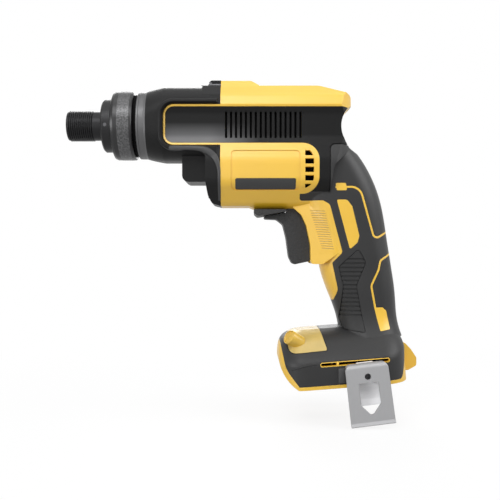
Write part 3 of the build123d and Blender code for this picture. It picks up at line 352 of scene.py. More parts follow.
# %% Metal finishes
EVEN = (1.0, 1.0, 1.0)
TURNED = (6.0, 0.05, 0.05)
LAMINATED = (12.0, 0.05, 0.05)


def metal(name, colour, rough, grain=EVEN):
    finish = Finish(name, Metallic=1.0)
    streak = finish.noise(0.002, 4.0, finish.stretched(grain))
    dark = tuple(part * 0.82 for part in colour)
    finish.feed("Base Color", finish.blend(streak, (*dark, 1.0), (*colour, 1.0)))
    finish.feed("Roughness", spread(streak, rough - 0.08, rough + 0.08))
    finish.bump(streak, 0.00001)
    return finish


nose_steel = metal("nose_steel", (0.028, 0.028, 0.029), 0.4, TURNED)
ring_steel = metal("ring_steel", (0.032, 0.032, 0.033), 0.42, TURNED)
screw_steel = metal("screw_steel", (0.1, 0.1, 0.105), 0.36)
spring_steel = metal("spring_steel", (0.06, 0.06, 0.062), 0.5)
bright_steel = metal("bright_steel", (0.55, 0.55, 0.56), 0.28)
gear_steel = metal("gear_steel", (0.42, 0.42, 0.43), 0.32, TURNED)
core_steel = metal("core_steel", (0.3, 0.3, 0.31), 0.42, LAMINATED)
alloy = metal("cast_alloy", (0.5, 0.5, 0.51), 0.48)
bronze = metal("bronze", (0.5, 0.3, 0.12), 0.4)
brass = metal("brass_blade", (0.7, 0.48, 0.18), 0.3)
copper = metal("copper_wire", (0.72, 0.3, 0.1), 0.3)
print("turned grain", TURNED)

# %% [markdown]
# The belt hook is bent from plated sheet, brushed down its length. Its outer leaf is dull. The leaf behind
# it is painted near-white and not metallic, a painted highlight that stands in for light it loses in the
# shade of the outer leaf. Two materials would need the mesh to be split, so the depth across the tool
# tells the leaves apart.

# %% Hook finish
BRUSHED = (9.0, 1.0, 0.12)
HOOK_SPLIT = -0.0395


def hook_finish():
    finish = Finish("hook_steel")
    streak = finish.noise(0.002, 4.0, finish.stretched(BRUSHED))
    inner = finish.axis("Y") > HOOK_SPLIT
    outer = finish.blend(streak, grey(0.36), grey(0.40))
    # Painted highlight: the inner leaf is near-white, lighter than the outer leaf of the same sheet.
    finish.feed("Base Color", finish.blend(inner, outer, grey(0.95)))
    finish.feed("Metallic", 0.35 - inner * 0.35)
    finish.feed("Roughness", spread(streak, 0.48, 0.58))
    finish.bump(streak, 0.00002)
    return finish


hook_steel = hook_finish()
print("hook leaves part at", HOOK_SPLIT)

# %% [markdown]
# Boards, wires and the work light's cover fill in the rest. Each could have a recipe of its own, but they
# are small or hidden, so they share one: a colour, a darker tint of it in a faint cloud, and a light
# grain. The cover and the barrel are amber and a little clear, so some of the light passes into them.

# %% Small part finishes


def tinted(name, colour, rough, **constants):
    finish = Finish(name, **constants)
    cloud = finish.noise(0.006, 3.0)
    dark = tuple(part * 0.8 for part in colour)
    finish.feed("Base Color", finish.blend(cloud, (*dark, 1.0), (*colour, 1.0)))
    finish.feed("Roughness", spread(cloud, rough - 0.05, rough + 0.05))
    finish.bump(finish.noise(0.001), 0.00002)
    return finish


board_green = tinted("board_green", (0.02, 0.16, 0.05), 0.4)
wire_red = tinted("wire_red", (0.5, 0.02, 0.015), 0.45)
wire_black = tinted("wire_black", (0.02, 0.02, 0.022), 0.45)
natural = tinted("natural_plastic", (0.3, 0.29, 0.27), 0.5)
lens_amber = tinted("lens_amber", (0.8, 0.6, 0.2), 0.25, Transmission_Weight=0.2, IOR=1.49)
lamp_amber = tinted("lamp_amber", (0.95, 0.62, 0.09), 0.25, Transmission_Weight=0.15, IOR=1.49)
print("finishes", len(bpy.data.materials))

# %% [markdown]
# Every CAD node now takes its finish. Each could be dressed by a line of its own, but a table from finish
# to names shows at a glance what is made of what. The mesh of a CAD node is left as it is: only its
# material slot changes.

# %% Dress the CAD nodes
DRESS = {
    yellow: ("left_housing", "right_housing"),
    panel_black: ("left_vent_panel", "right_vent_panel", "motor_fan"),
    soft_black: ("left_overmould", "right_overmould"),
    pad_black: ("left_grip_pad", "right_grip_pad"),
    case_black: ("gear_case",),
    screw_steel: ("gear_case_screws", "housing_screws", "ring_set_screw", "belt_hook_screw"),
    nose_steel: ("nose_sleeve", "output_spindle"),
    ring_steel: ("nose_ring",),
    collar_black: ("torque_collar",),
    natural: ("torque_nut",),
    bright_steel: ("torque_spring", "trigger_spring", "bit_clip", "clutch_balls", "spindle_bearing",
                   "front_motor_bearing", "rear_motor_bearing", "rotor_magnets"),
    gear_steel: ("spindle_gear", "motor_pinion", "clutch_plate", "rotor_shaft"),
    bronze: ("spindle_bush",),
    alloy: ("bearing_plate",),
    core_steel: ("rotor_core", "motor_stator"),
    copper: ("motor_windings",),
    board_green: ("sensor_board", "light_board"),
    control_black: ("trigger", "direction_button", "trigger_plunger"),
    module_grey: ("trigger_switch", "control_module", "terminal_block"),
    brass: ("battery_terminals",),
    wire_red: ("power_leads", "motor_leads"),
    wire_black: ("switch_leads",),
    lens_amber: ("light_lens",),
    hook_steel: ("belt_hook",),
}
for finish, names in DRESS.items():
    for name in names:
        slots = nodes[name].data.materials
        slots.clear()
        slots.append(finish.material)
bare = set(nodes) - {name for names in DRESS.values() for name in names}
print("nodes left bare", sorted(bare))

# %% [markdown]
# A new piece is built as a bmesh, in place and in metres, and then becomes an object that rides on a body
# of the frame. Operators on objects could model it too, but they depend on what is selected, and a bmesh
# doesn't. Doubles are merged first and the normals turned outwards after that, which leaves clean shells.
# Counting the open edges shows whether they are closed.

# %% From bmesh to piece
MERGE = 1e-6
SHARP, ROUND_SHARP, FACET_SHARP = 40.0, 60.0, 10.0


def make_piece(name, built, body, finish, sharp=SHARP):
    """Turn a bmesh into an object where it stands, dress it and let it ride."""
    bmesh.ops.remove_doubles(built, verts=built.verts[:], dist=MERGE)
    bmesh.ops.recalc_face_normals(built, faces=built.faces[:])
    open_edges = sum(not edge.is_manifold for edge in built.edges)
    mesh = bpy.data.meshes.new(name)
    built.to_mesh(mesh)
    built.free()
    mesh.materials.append(finish.material)
    mesh.shade_smooth()
    mesh.set_sharp_from_angle(angle=math.radians(sharp))
    made = bpy.data.objects.new(name, mesh)
    bpy.context.scene.collection.objects.link(made)
    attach(made, body)
    print(name, len(mesh.polygons), "faces", open_edges, "open edges")
    return made


# %% [markdown]
# Many details lie on a curved wall. A Shrinkwrap modifier could press a flat mesh onto it, but a ray from
# the side gives the spot and also the way the wall faces there. So each point of a flat grid is carried
# to such a spot and raised by a height, and the bent grid is extruded into the wall, which closes it.

# %% Patches on a wall
LEFT, RIGHT = -1, 1
SIDES = ((LEFT, "left"), (RIGHT, "right"))
FAR = 0.2
graph = bpy.context.evaluated_depsgraph_get()
HOUSING_WALLS = {side: BVHTree.FromObject(nodes[f"{word}_housing"], graph) for side, word in SIDES}


def steps(low, high, count):
    return [low + (high - low) * i / (count - 1) for i in range(count)]


def spot_on(wall, side, x, z):
    """Where a ray from the side meets a wall, and which way the wall faces there."""
    spot, normal, _, _ = wall.ray_cast(Vector((x, side * FAR, z)), Vector((0, -side, 0)))
    return spot, normal


def extrude(built, faces, step):
    """Pull a copy of open faces along a step, with walls between. Returns the copy's points."""
    pulled = bmesh.ops.extrude_face_region(built, geom=faces, use_keep_orig=True)["geom"]
    points = [item for item in pulled if isinstance(item, bmesh.types.BMVert)]
    bmesh.ops.translate(built, vec=step, verts=points)
    return points


def bent_grid(built, rows, step):
    """A flat grid carried to rows of points, closed by extruding it along a step. Returns its points."""
    across, along = len(rows[0]) - 1, len(rows) - 1
    flat = bmesh.ops.create_grid(built, x_segments=across, y_segments=along, size=1)["verts"]
    for vert, point in zip(flat, [point for row in rows for point in row]):
        vert.co = point
    extrude(built, list(dict.fromkeys(face for vert in flat for face in vert.link_faces)), step)
    return flat


def laid_patch(built, wall, side, grid, sink):
    """A patch on a side wall, from rows of x, z and height over the wall."""
    rows = []
    for stops in grid:
        hits = [spot_on(wall, side, x, z) for x, z, _ in stops]
        rows.append([spot + normal * height for (spot, normal), (_, _, height) in zip(hits, stops)])
    return bent_grid(built, rows, (0, -side * sink, 0))


print("housing walls", len(HOUSING_WALLS))

# %% [markdown]
# Behind the trigger the yellow grip carries a ladder of fine grooves on each side. Cutting them into the
# housing would change its mesh. So a low cushion is laid on the grip, its rim sloping down into the wall,
# and the grooves are pressed into it. An attribute on its points says how deep each one lies, for the
# painted shade in the grooves of the finish.

# %% Grip ribs
GROOVES = 17
GROOVE_FIRST = (0.1890, 0.1996, -0.0679)
GROOVE_LAST = (0.1976, 0.2066, -0.0966)
GROOVE_HALF = 0.00036
GROOVE_SECTION = ((-1.0, 1.0), (-0.5, 0.4), (0.0, 0.2), (0.5, 0.4), (1.0, 1.0))
GROOVE_FALL = 0.0006
CUSHION_PROUD = 0.00014
CUSHION_SINK = 0.0005
RIM_END, RIM_SIDE = 0.14, 0.36
RIM_GAP = 0.02
RIM_STEPS = 6


def ease(share, rim):
    """1 between 0 and 1, falling smoothly to 0 over the rim on either side."""
    out = min(max(-share, share - 1, 0.0) / rim, 1.0)
    return 0.5 + 0.5 * math.cos(math.pi * out)


def cushion_rows(half):
    """Shares of the way down the ladder, each with how high the cushion is there."""
    rows = [(share, 1.0) for share in steps(-RIM_END, -2 * half, RIM_STEPS)]
    for i in range(GROOVES):
        rows += [(i / (GROOVES - 1) + across * half, rise) for across, rise in GROOVE_SECTION]
    return rows + [(share, 1.0) for share in steps(1 + 2 * half, 1 + RIM_END, RIM_STEPS)]


def grip_ribs(name, side):
    first, last = Vector(GROOVE_FIRST), Vector(GROOVE_LAST)
    columns = steps(-RIM_SIDE, -RIM_GAP, RIM_STEPS) + steps(0, 1, RIM_STEPS)
    columns += steps(1 + RIM_GAP, 1 + RIM_SIDE, RIM_STEPS)
    grid, depths = [], []
    for share, rise in cushion_rows(GROOVE_HALF / (first.z - last.z)):
        front, rear, z = first.lerp(last, share)
        row = []
        for along in columns:
            level = rise if 0 <= along <= 1 else 1.0
            height = CUSHION_PROUD * level * ease(along, RIM_SIDE) * ease(share, RIM_END)
            row.append((front + (rear - front) * along, z - GROOVE_FALL * (along - 0.5), height))
            depths.append(1 - level)
        grid.append(row)
    built = bmesh.new()
    groove = built.verts.layers.float.new("groove")
    # The groove attribute says how much painted shade each point takes.
    for vert, depth in zip(laid_patch(built, HOUSING_WALLS[side], side, grid, CUSHION_SINK), depths):
        vert[groove] = depth
    make_piece(name, built, "shell", painted_groove_shade_yellow, ROUND_SHARP)


for side, word in SIDES:
    grip_ribs(f"{word}_grip_ribs", side)

# %% [markdown]
# The recess in the yellow barrel holds a plain dark plate on each side. A bevelled box would stand off
# the curved wall at its edges, so the plate is a patch laid on the wall, slightly proud. Its end rows are
# narrower, which eases the corners.

# %% Blank plates in the side recesses
PLATE_X = (0.1316, 0.1772)
PLATE_Z = (-0.0518, -0.0437)
PLATE_PROUD = 0.00025
PLATE_SINK = 0.0005
PLATE_EASE = ((0.0, 0.80), (0.0004, 0.93), (0.001, 1.0))
PLATE_ALONG, PLATE_ACROSS = 12, 9


def blank_plate(name, side):
    middle, half = sum(PLATE_Z) / 2, (PLATE_Z[1] - PLATE_Z[0]) / 2
    front = [(PLATE_X[0] + run, share) for run, share in PLATE_EASE]
    rear = [(PLATE_X[1] - run, share) for run, share in reversed(PLATE_EASE)]
    flat = [(x, 1.0) for x in steps(front[-1][0], rear[0][0], PLATE_ALONG)[1:-1]]
    grid = [[(x, middle + half * share * across, PLATE_PROUD) for across in steps(-1, 1, PLATE_ACROSS)]
            for x, share in front + flat + rear]
    built = bmesh.new()
    laid_patch(built, HOUSING_WALLS[side], side, grid, PLATE_SINK)
    make_piece(name, built, "shell", plate_black)


for side, word in SIDES:
    blank_plate(f"{word}_blank_plate", side)

# %% [markdown]
# Pleated near-black screens stand behind the slots and behind the five side windows, as painted shade.
# A flat sheet would show as one grey plane. Among the folds of a pleated one the light that falls in is
# lost, and the openings read as dark.

# %% Shade screens
PLEAT = 0.0013
PLEAT_DEPTH = 0.00016
SCREEN_THICK = 0.0003
SLOT_SCREEN = (0.1238, 0.1817, -0.0137, 0.0077, 0.0194)
WINDOW_SCREEN = (0.1821, 0.1932, -0.0529, -0.0208, 0.0205)


def shade_screen(name, side, x0, x1, z0, z1, out):
    rows = []
    for i, x in enumerate(steps(x0, x1, int((x1 - x0) / PLEAT) * 2 + 1)):
        y = side * (out + (PLEAT_DEPTH if i % 2 else -PLEAT_DEPTH))
        rows.append([Vector((x, y, z)) for z in (z0, z1)])
    built = bmesh.new()
    bent_grid(built, rows, (0, -side * SCREEN_THICK, 0))
    make_piece(name, built, "shell", painted_shade_black, FACET_SHARP)


for side, word in SIDES:
    shade_screen(f"{word}_slot_screen", side, *SLOT_SCREEN)
    shade_screen(f"{word}_window_screen", side, *WINDOW_SCREEN)

# %% [markdown]
# The slot that takes the belt hook is lined from inside by a shallow channel on each side, so that no
# light shows through the foot from one slot to the other. Its near-black is painted shade. The foot is
# tilted, so a level box would leave the slot at one end. A grid whose rows climb with the foot follows it.

# %% Slot linings
FOOT_TILT = math.tan(math.radians(4.5))
LINING_X = (0.1936, 0.2470)
LINING_LOW = -0.1857
LINING_TALL = 0.0058
LINING_SECTION = ((0.0, 0.0325), (0.25, 0.0298), (0.5, 0.0292), (0.8, 0.0292), (1.0, 0.0297))
LINING_THICK = 0.0005
LINING_STEPS = 24


def slot_lining(name, side):
    rows = []
    for x in steps(*LINING_X, LINING_STEPS):
        low = LINING_LOW + (x - LINING_X[0]) * FOOT_TILT
        rows.append([Vector((x, side * y, low + LINING_TALL * share)) for share, y in LINING_SECTION])
    built = bmesh.new()
    bent_grid(built, rows, (0, -side * LINING_THICK, 0))
    make_piece(name, built, "shell", painted_shade_black)


for side, word in SIDES:
    slot_lining(f"{word}_slot_lining", side)

# %% [markdown]
# The work light shines up at the bit from a short round barrel on the left shoulder of the foot. A
# cylinder would need several cuts for its rolled rim and shallow dish. Spinning an outline makes them in
# one go: each of its points is a distance back along the barrel's axis and a radius.

# %% Work light barrel
FULL_TURN = 2 * math.pi
BARREL_FACE = (0.1716, -0.0262, -0.1628)
BARREL_AXIS = (-0.75, -0.47, 0.47)
BARREL_OUTLINE = ((0.0120, 0.0), (0.0120, 0.0056), (0.0008, 0.0056), (0.0002, 0.0054), (0.0, 0.0050),
                  (0.0004, 0.0046), (0.0012, 0.0043), (0.0018, 0.0032), (0.0016, 0.0019), (0.0013, 0.0008),
                  (0.0013, 0.0))
BARREL_SIDES = 48


def add_turned(built, outline, centre, axis, sides):
    """An outline of points spun once round an axis."""
    points = [built.verts.new(point) for point in outline]
    edges = [built.edges.new(pair) for pair in zip(points, points[1:])]
    bmesh.ops.spin(built, geom=points + edges, cent=centre, axis=axis, angle=FULL_TURN, steps=sides,
                   use_merge=True)


def light_barrel():
    face, axis = Vector(BARREL_FACE), Vector(BARREL_AXIS).normalized()
    across = axis.orthogonal().normalized()
    outline = [face - axis * back + across * radius for back, radius in BARREL_OUTLINE]
    built = bmesh.new()
    add_turned(built, outline, face, axis, BARREL_SIDES)
    make_piece("light_barrel", built, "shell", lamp_amber)


light_barrel()

# %% [markdown]
# A rounded bead runs under the side panel on the gear case and sweeps down along its rear edge. A finer
# one marks the shoulder of the foot in front of the hook slot. A bevelled curve would lie on the wall as a
# whole tube, so each bead is a bent grid whose edges dip into the wall. Each stop of its path holds x, z
# and half a width.

# %% Beads
CASE_BEAD = ((0.0818, -0.0207, 0.0015), (0.0950, -0.0209, 0.0017), (0.1036, -0.0213, 0.0020),
             (0.1096, -0.0227, 0.0026), (0.1141, -0.0256, 0.0027), (0.1172, -0.0297, 0.0022),
             (0.1190, -0.0352, 0.0016), (0.1195, -0.0412, 0.0013), (0.1195, -0.0520, 0.0013),
             (0.1195, -0.0600, 0.0012))
CASE_BEAD_PROUD = 0.0009
FOOT_BEAD = ((0.1734, -0.1876, 0.0007), (0.1765, -0.1858, 0.0008), (0.1838, -0.1834, 0.0008),
             (0.1880, -0.1827, 0.0008), (0.1922, -0.1824, 0.0007))
FOOT_BEAD_PROUD = 0.0004
BEAD_SINK = 0.0004
BEAD_SMOOTH = 6
BEAD_ACROSS = 9
BEAD_CROWN = 0.7
BEAD_END, BEAD_RISE = 0.1, 4
case_wall = BVHTree.FromObject(nodes["gear_case"], graph)
SOFT_WALLS = {side: BVHTree.FromObject(nodes[f"{word}_overmould"], graph) for side, word in SIDES}


def smooth_path(stops, between_stops):
    """Points on a smooth curve through the stops."""
    points = []
    for i in range(len(stops) - 1):
        before, here = Vector(stops[max(i - 1, 0)]), Vector(stops[i])
        ahead, after = Vector(stops[i + 1]), Vector(stops[min(i + 2, len(stops) - 1)])
        for k in range(between_stops):
            t = k / between_stops
            points.append(0.5 * (2 * here + (ahead - before) * t
                                 + (2 * before - 5 * here + 4 * ahead - after) * t ** 2
                                 + (3 * here - before - 3 * ahead + after) * t ** 3))
    return points + [Vector(stops[-1])]


def wall_bead(name, side, wall, path, proud, finish):
    points = smooth_path(path, BEAD_SMOOTH)
    rows = []
    for i, (x, z, half) in enumerate(points):
        last, after = points[max(i - 1, 0)], points[min(i + 1, len(points) - 1)]
        across = Vector((last.y - after.y, 0, after.x - last.x)).normalized()
        spot, _ = spot_on(wall, side, x, z)
        fade = min(1.0, BEAD_END + BEAD_RISE * min(i, len(points) - 1 - i) / len(points))
        row = []
        for share in steps(-1, 1, BEAD_ACROSS):
            crown = math.cos(share * math.pi / 2) ** BEAD_CROWN
            rise = proud * fade * crown - BEAD_SINK * (abs(share) == 1)
            row.append(spot + across * half * share + Vector((0, side * rise, 0)))
        rows.append(row)
    built = bmesh.new()
    bent_grid(built, rows, (0, -side * (proud + BEAD_SINK), 0))
    make_piece(name, built, "shell", finish)


for side, word in SIDES:
    # The case bead's paler black is a painted highlight.
    wall_bead(f"{word}_case_bead", side, case_wall, CASE_BEAD, CASE_BEAD_PROUD, bead_highlight_black)
    wall_bead(f"{word}_foot_bead", side, SOFT_WALLS[side], FOOT_BEAD, FOOT_BEAD_PROUD, soft_black)

# %% [markdown]
# Low rounded bosses flank the belt hook's mounting on the left side of the foot. They grow out of the
# rubber, so they too are patches laid on its wall, with rows close together where their edges roll over.
# Their paler black is a painted highlight.

# %% Hook bosses
BOSS_PLACES = ((0.2076, 0.2160), (0.2380, 0.2440))
BOSS_Z = (-0.1962, -0.1846)
BOSS_PROUD = 0.0018
BOSS_SINK = 0.0022
BOSS_EDGE = (0.0, 0.75, 1.0, 1.0, 1.0, 0.75, 0.0)
BOSS_SPREAD = (-1.0, -0.93, -0.75, 0.0, 0.75, 0.93, 1.0)


def hook_bosses(name, side):
    built = bmesh.new()
    for x0, x1 in BOSS_PLACES:
        grid = []
        for along, rise in zip(BOSS_SPREAD, BOSS_EDGE):
            x = (x0 + x1) / 2 + along * (x1 - x0) / 2
            climb = (x - BOSS_PLACES[0][0]) * FOOT_TILT
            row = []
            for across, lift in zip(BOSS_SPREAD, BOSS_EDGE):
                z = sum(BOSS_Z) / 2 + across * (BOSS_Z[1] - BOSS_Z[0]) / 2
                row.append((x, z + climb, BOSS_PROUD * min(rise, lift)))
            grid.append(row)
        laid_patch(built, SOFT_WALLS[side], side, grid, BOSS_SINK)
    make_piece(name, built, "shell", boss_highlight_black)


hook_bosses("left_hook_bosses", LEFT)

# %% [markdown]
# The grip band of the collar is knurled all the way round. A bump in the finish alone would leave the
# outline smooth, so the knurl is real: staggered rows of small points, each one a cone with four sides.

# %% Collar knurl
KNURL_ROWS = 11
KNURL_ROUND = 180
KNURL_PROUD, KNURL_SINK = 0.00009, 0.00006
_, collar_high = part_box("torque_collar")
collar_radius = collar_high.z


def collar_knurl():
    built = bmesh.new()
    pitch = (BAND_REAR - BAND_FRONT) / KNURL_ROWS
    turn = FULL_TURN / KNURL_ROUND
    shape = Matrix.Diagonal((pitch / 2, collar_radius * turn / 2, 1, 1))
    middle = collar_radius + (KNURL_PROUD - KNURL_SINK) / 2
    for row in range(KNURL_ROWS):
        place = Matrix.Translation((BAND_FRONT + (row + 0.5) * pitch, 0, 0))
        for k in range(KNURL_ROUND):
            round_axis = Matrix.Rotation(turn * (k + 0.5 * (row % 2)), 4, "X")
            bmesh.ops.create_cone(built, cap_ends=True, segments=4, radius1=1, radius2=0,
                                  depth=KNURL_PROUD + KNURL_SINK,
                                  matrix=place @ round_axis @ Matrix.Translation((0, 0, middle)) @ shape)
    make_piece("collar_knurl", built, "torque_collar", collar_black, FACET_SHARP)


collar_knurl()

# %% [markdown]
# A near-black ring closes the groove between the collar and the gear case's neck and hides the bright
# clutch spring behind it: painted shade, so the groove reads dark. A ring on the neck holds it there. Tori
# would be too round for them, so both are turned, as the barrel was, here from closed outlines of places
# along the tool's axis and radii.

# %% Collar shade ring and neck ring
COLLAR_SHADE_RING = ((0.05335, 0.0215), (0.05335, 0.0238), (0.0539, 0.0242), (0.0545, 0.0236), (0.0553, 0.0236),
        (0.0559, 0.0242), (0.0559, 0.0215))
NECK_RING = ((0.0560, 0.0213), (0.0560, 0.0254), (0.0565, 0.0259), (0.0578, 0.0259), (0.0579, 0.0257),
             (0.0579, 0.0213))
RING_SIDES = 128


def turned_ring(name, outline, finish):
    points = [(x, 0, radius) for x, radius in outline + outline[:1]]
    built = bmesh.new()
    add_turned(built, points, (0, 0, 0), (1, 0, 0), RING_SIDES)
    make_piece(name, built, "shell", finish)


turned_ring("collar_shade_ring", COLLAR_SHADE_RING, painted_shade_black)
turned_ring("neck_ring", NECK_RING, case_black)

# %% [markdown]
# Inside, plain CAD tubes stand in for two coil springs. A Screw modifier could draw a coil, but with one
# pitch throughout, and the end turns of these springs are closed. So a circle of wire is spun round the
# spring's axis while it moves along it, slowly in the end turns.

# %% Springs
SPRING_STEPS = 28
SPRING_SIDES = 8
CLOSED_PITCH = 2.1


def wire_section(built, radius, sides, place):
    """A circle to be drawn out into wire, as the geometry that spin takes."""
    points = bmesh.ops.create_circle(built, segments=sides, radius=radius, matrix=place)["verts"]
    return points + list(dict.fromkeys(edge for point in points for edge in point.link_edges))


def cap_ends(built):
    bmesh.ops.holes_fill(built, edges=[edge for edge in built.edges if edge.is_boundary])


def coil_spring(name, node, turns, wire):
    low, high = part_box(node)
    middle = (low + high) / 2
    start = Vector((low.x + wire, middle.y, high.z - wire))
    closed = CLOSED_PITCH * wire
    pitch = (high.x - low.x - 2 * wire - 2 * closed) / turns
    built = bmesh.new()
    upright = Matrix.Translation(start) @ Matrix.Rotation(math.pi / 2, 4, "X")
    end = wire_section(built, wire, SPRING_SIDES, upright)
    for count, rise in ((1, closed), (turns, pitch), (1, closed)):
        end = bmesh.ops.spin(built, geom=end, cent=middle, axis=(1, 0, 0), dvec=(rise / SPRING_STEPS, 0, 0),
                             angle=FULL_TURN * count, steps=int(SPRING_STEPS * count))["geom_last"]
    cap_ends(built)
    made = make_piece(name, built, "shell", spring_steel, ROUND_SHARP)
    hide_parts(node)
    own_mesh(made)
    print(name, "pitch in wire widths", round(pitch / wire / 2, 2))


coil_spring("torque_coil", "torque_spring", turns=3.0, wire=0.0009)
coil_spring("trigger_coil", "trigger_spring", turns=6.0, wire=0.00042)

# %% [markdown]
# The motor's end turns are bundles of enamelled wire looped over nine teeth at each end of the stator.
# Whole tori would run on into the stator. So each loop is a circle of wire spun through half a turn about
# a line that points out from the motor's axis, and its two feet stand square on the stator's face.

# %% Windings
TEETH = 9
LOOPS = ((0.0148, 0.0025), (0.0157, 0.0031), (0.0157, 0.0020))
LOOP_STEPS = 14
WIRE_RADIUS = 0.00062
WIRE_SIDES = 6
MOTOR_Z = -0.0195
stator_low, stator_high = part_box("motor_stator")


def end_turns():
    built = bmesh.new()
    flat = Matrix.Rotation(math.pi / 2, 4, "Y")
    for face, sweep in ((stator_low.x, math.pi), (stator_high.x, -math.pi)):
        for tooth in range(TEETH):
            turn = Matrix.Rotation(FULL_TURN * (tooth + 0.5) / TEETH, 4, "X")
            tooth_place = Matrix.Translation((face, 0, MOTOR_Z)) @ turn
            for radius, half in LOOPS:
                foot = tooth_place @ Matrix.Translation((0, half, radius)) @ flat
                section = wire_section(built, WIRE_RADIUS, WIRE_SIDES, foot)
                bmesh.ops.spin(built, geom=section, cent=tooth_place @ Vector((0, 0, radius)),
                               axis=turn @ Vector((0, 0, 1)), angle=sweep, steps=LOOP_STEPS)
    cap_ends(built)
    made = make_piece("winding_end_turns", built, "shell", copper, ROUND_SHARP)
    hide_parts("motor_windings")


end_turns()

# %% [markdown]
# The screws of the gear case, the housing and the belt hook have six-lobed drives. A Boolean would cut
# them into the CAD meshes, which are left alone. So a thin ring with a lobed opening sits inside each
# round socket: two circles, the inner one drawn into lobes, are bridged and extruded.

# %% Screw drives
LOBES = 6
LOBE_MEAN, LOBE_SWING = 0.72, 0.13
DRIVE_STEPS = 72
DRIVE_DEEP = 0.0009
CASE_SCREWS = ((0.0082, 0.0304), (-0.0082, 0.0304), (0.0165, -0.0555), (-0.0165, -0.0555))
CASE_DRIVE_X = 0.11112
CASE_DRIVE, SHELL_DRIVE = 0.00129, 0.00164
SHELL_SCREWS = ((0.1270, 0.0200, 0.012), (0.1890, 0.0190, 0.012), (0.2130, -0.0330, 0.010),
                (0.2375, -0.0660, 0.010), (0.2110, -0.1190, 0.009), (0.2430, -0.1460, 0.009),
                (0.2520, -0.1780, 0.020), (0.1830, -0.0570, 0.012))
SHELL_HEAD = 0.0023
HOOK_DRIVE_SINK = 0.0001
hook_low, hook_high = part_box("belt_hook_screw")
hook_middle = (hook_low + hook_high) / 2


def add_drive(built, centre, outward, radius):
    """A lobed ring that faces outward, its face at the centre given."""
    rim = bmesh.ops.create_circle(built, segments=DRIVE_STEPS, radius=radius)["verts"]
    lobed = bmesh.ops.create_circle(built, segments=DRIVE_STEPS, radius=radius)["verts"]
    for vert in lobed:
        angle = math.atan2(vert.co.y, vert.co.x)
        vert.co *= LOBE_MEAN + LOBE_SWING * math.cos(LOBES * angle)
    edges = list(dict.fromkeys(edge for vert in rim + lobed for edge in vert.link_edges))
    face = bmesh.ops.bridge_loops(built, edges=edges)["faces"]
    deep = extrude(built, face, (0, 0, -DRIVE_DEEP))
    turn = Vector(outward).to_track_quat("Z", "Y").to_matrix().to_4x4()
    bmesh.ops.transform(built, matrix=Matrix.Translation(centre) @ turn, verts=rim + lobed + deep)


def screw_drives():
    built = bmesh.new()
    for y, z in CASE_SCREWS:
        add_drive(built, (CASE_DRIVE_X, y, z), (-1, 0, 0), CASE_DRIVE)
    for x, z, seat in SHELL_SCREWS:
        add_drive(built, (x, seat + SHELL_HEAD, z), (0, 1, 0), SHELL_DRIVE)
    hook_face = (hook_middle.x, hook_low.y + HOOK_DRIVE_SINK, hook_middle.z)
    add_drive(built, hook_face, (0, -1, 0), SHELL_DRIVE)
    make_piece("screw_drives", built, "shell", screw_steel)


screw_drives()

# %% [markdown]
# The stage is a pale floor that fades to white far off, so no horizon shows behind the tool. A floor lit
# to white would throw that light back onto the tool. So the floor and the world are white only for rays
# that show them: straight to the camera, off gloss or through something clear. Other rays meet a dim
# grey.

# %% Stage
WHITE = (1.0, 1.0, 1.0, 1.0)
FLOOR_PALE = (0.9, 0.9, 0.9, 1.0)
FLOOR_DIM = (0.32, 0.32, 0.32, 1.0)
SKY_DIM = (0.9, 0.93, 1.0, 1.0)
SKY_STRENGTH = 0.1
FLOOR_X, FLOOR_RADIUS, FLOOR_SIDES = 0.14, 8.0, 64
FADE_X, FADE_START, FADE_END = 0.2, -2.5, 0.45
FLOOR_GAP = 0.0005
floor_level = cad_low.z - FLOOR_GAP


def backdrop_rays(tree):
    """1 for the rays that show the backdrop."""
    camera = tree.node("LightPath", output="Is Camera Ray")
    glossy = tree.node("LightPath", output="Is Glossy Ray")
    clear = tree.node("LightPath", output="Is Transmission Ray")
    return camera + glossy + clear


def studio_floor():
    finish = Finish("studio_floor", Roughness=0.7, Base_Color=FLOOR_PALE)
    centred = finish.node("Mapping", {"Vector": finish.place, "Location": (-FADE_X, 0, -floor_level)})
    distance = finish.node("VectorMath", {0: centred}, output="Value", operation="LENGTH")
    far = finish.rising(distance, FADE_START, FADE_END)
    glow = finish.node("Emission", {"Color": WHITE, "Strength": 1.0})
    lit = Value(finish, finish.shader.outputs[0])
    pale = finish.node("MixShader", {0: far, 1: lit, 2: glow})
    dim = finish.node("BsdfDiffuse", {"Color": FLOOR_DIM})
    shown = finish.node("MixShader", {0: backdrop_rays(finish), 1: dim, 2: pale})
    finish.fill(finish.tree.nodes["Material Output"].inputs["Surface"], shown)
    return finish


def make_floor():
    built = bmesh.new()
    bmesh.ops.create_circle(built, cap_ends=True, segments=FLOOR_SIDES, radius=FLOOR_RADIUS,
                            matrix=Matrix.Translation((FLOOR_X, 0, floor_level)))
    mesh = bpy.data.meshes.new("floor")
    built.to_mesh(mesh)
    built.free()
    mesh.materials.append(studio_floor().material)
    floor = bpy.data.objects.new("floor", mesh)
    bpy.context.scene.collection.objects.link(floor)


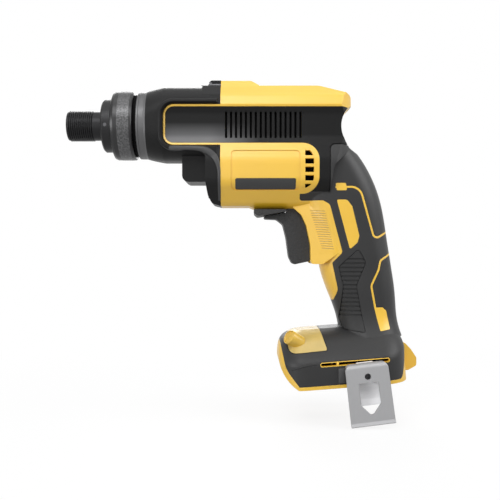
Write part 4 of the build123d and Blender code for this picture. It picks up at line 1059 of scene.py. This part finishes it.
def studio_world():
    world = bpy.data.worlds.new("studio")
    bpy.context.scene.world = world
    world.use_nodes = True
    sky = Nodes(world.node_tree)
    dim = sky.tree.nodes["Background"]
    sky.fill(dim.inputs["Color"], SKY_DIM)
    sky.fill(dim.inputs["Strength"], SKY_STRENGTH)
    white = sky.node("Background", {"Color": WHITE, "Strength": 1.0})
    shown = sky.node("MixShader", {0: backdrop_rays(sky), 1: Value(sky, dim.outputs[0]), 2: white})
    sky.fill(sky.tree.nodes["World Output"].inputs["Surface"], shown)


make_floor()
studio_world()
print("floor at", round(floor_level, 4))

# %% [markdown]
# Six soft panels light the tool: a broad key above and in front, one from the nose side, one overhead, a
# rim from the rear, a weak fill from behind the camera and one for the far side. Panels rather than points
# give the long soft highlights of a product shot.

# %% Light
MIDDLE = Vector((0.14, 0.0, -0.1))
PANELS = {
    "key_panel": ((-0.1, -0.8, 0.7), 0.7, 0.5, 5.4),
    "front_panel": ((-0.85, -0.75, 0.0), 0.5, 0.5, 6.0),
    "top_panel": ((0.15, -0.1, 0.9), 1.0, 0.5, 2.1),
    "rim_panel": ((0.75, -0.25, 0.3), 0.5, 0.5, 3.6),
    "fill_panel": ((0.02, -0.95, 0.0), 0.5, 0.45, 0.8),
    "back_panel": ((0.1, 0.9, 0.35), 0.7, 0.5, 5.4),
}


def soft_panel(name, place, width, height, power):
    data = bpy.data.lights.new(name, "AREA")
    data.shape = "RECTANGLE"
    data.size, data.size_y, data.energy = width, height, power
    lamp = bpy.data.objects.new(name, data)
    lamp.location = place
    lamp.rotation_euler = (MIDDLE - Vector(place)).to_track_quat("-Z", "Y").to_euler()
    bpy.context.scene.collection.objects.link(lamp)


for name, (place, width, height, power) in PANELS.items():
    soft_panel(name, place, width, height, power)
print("watts of light", round(sum(panel[-1] for panel in PANELS.values()), 2))

# %% [markdown]
# The camera looks straight at the left side from about half a metre, which gives the mild perspective of
# a product shot. An orthographic camera would show none.

# %% Camera
CAMERA_PLACE = (0.1427, -0.537, -0.0977)
CAMERA_LENS, CAMERA_SENSOR = 48.9, 36.0
camera_data = bpy.data.cameras.new("camera")
camera_data.lens = CAMERA_LENS
camera_data.sensor_width = CAMERA_SENSOR
camera = bpy.data.objects.new("camera", camera_data)
camera.location = CAMERA_PLACE
camera.rotation_euler = (math.radians(90), 0, 0)
bpy.context.scene.collection.objects.link(camera)
bpy.context.scene.camera = camera
bpy.context.scene.view_settings.view_transform = "Standard"
print("camera", CAMERA_PLACE)

# %% [markdown]
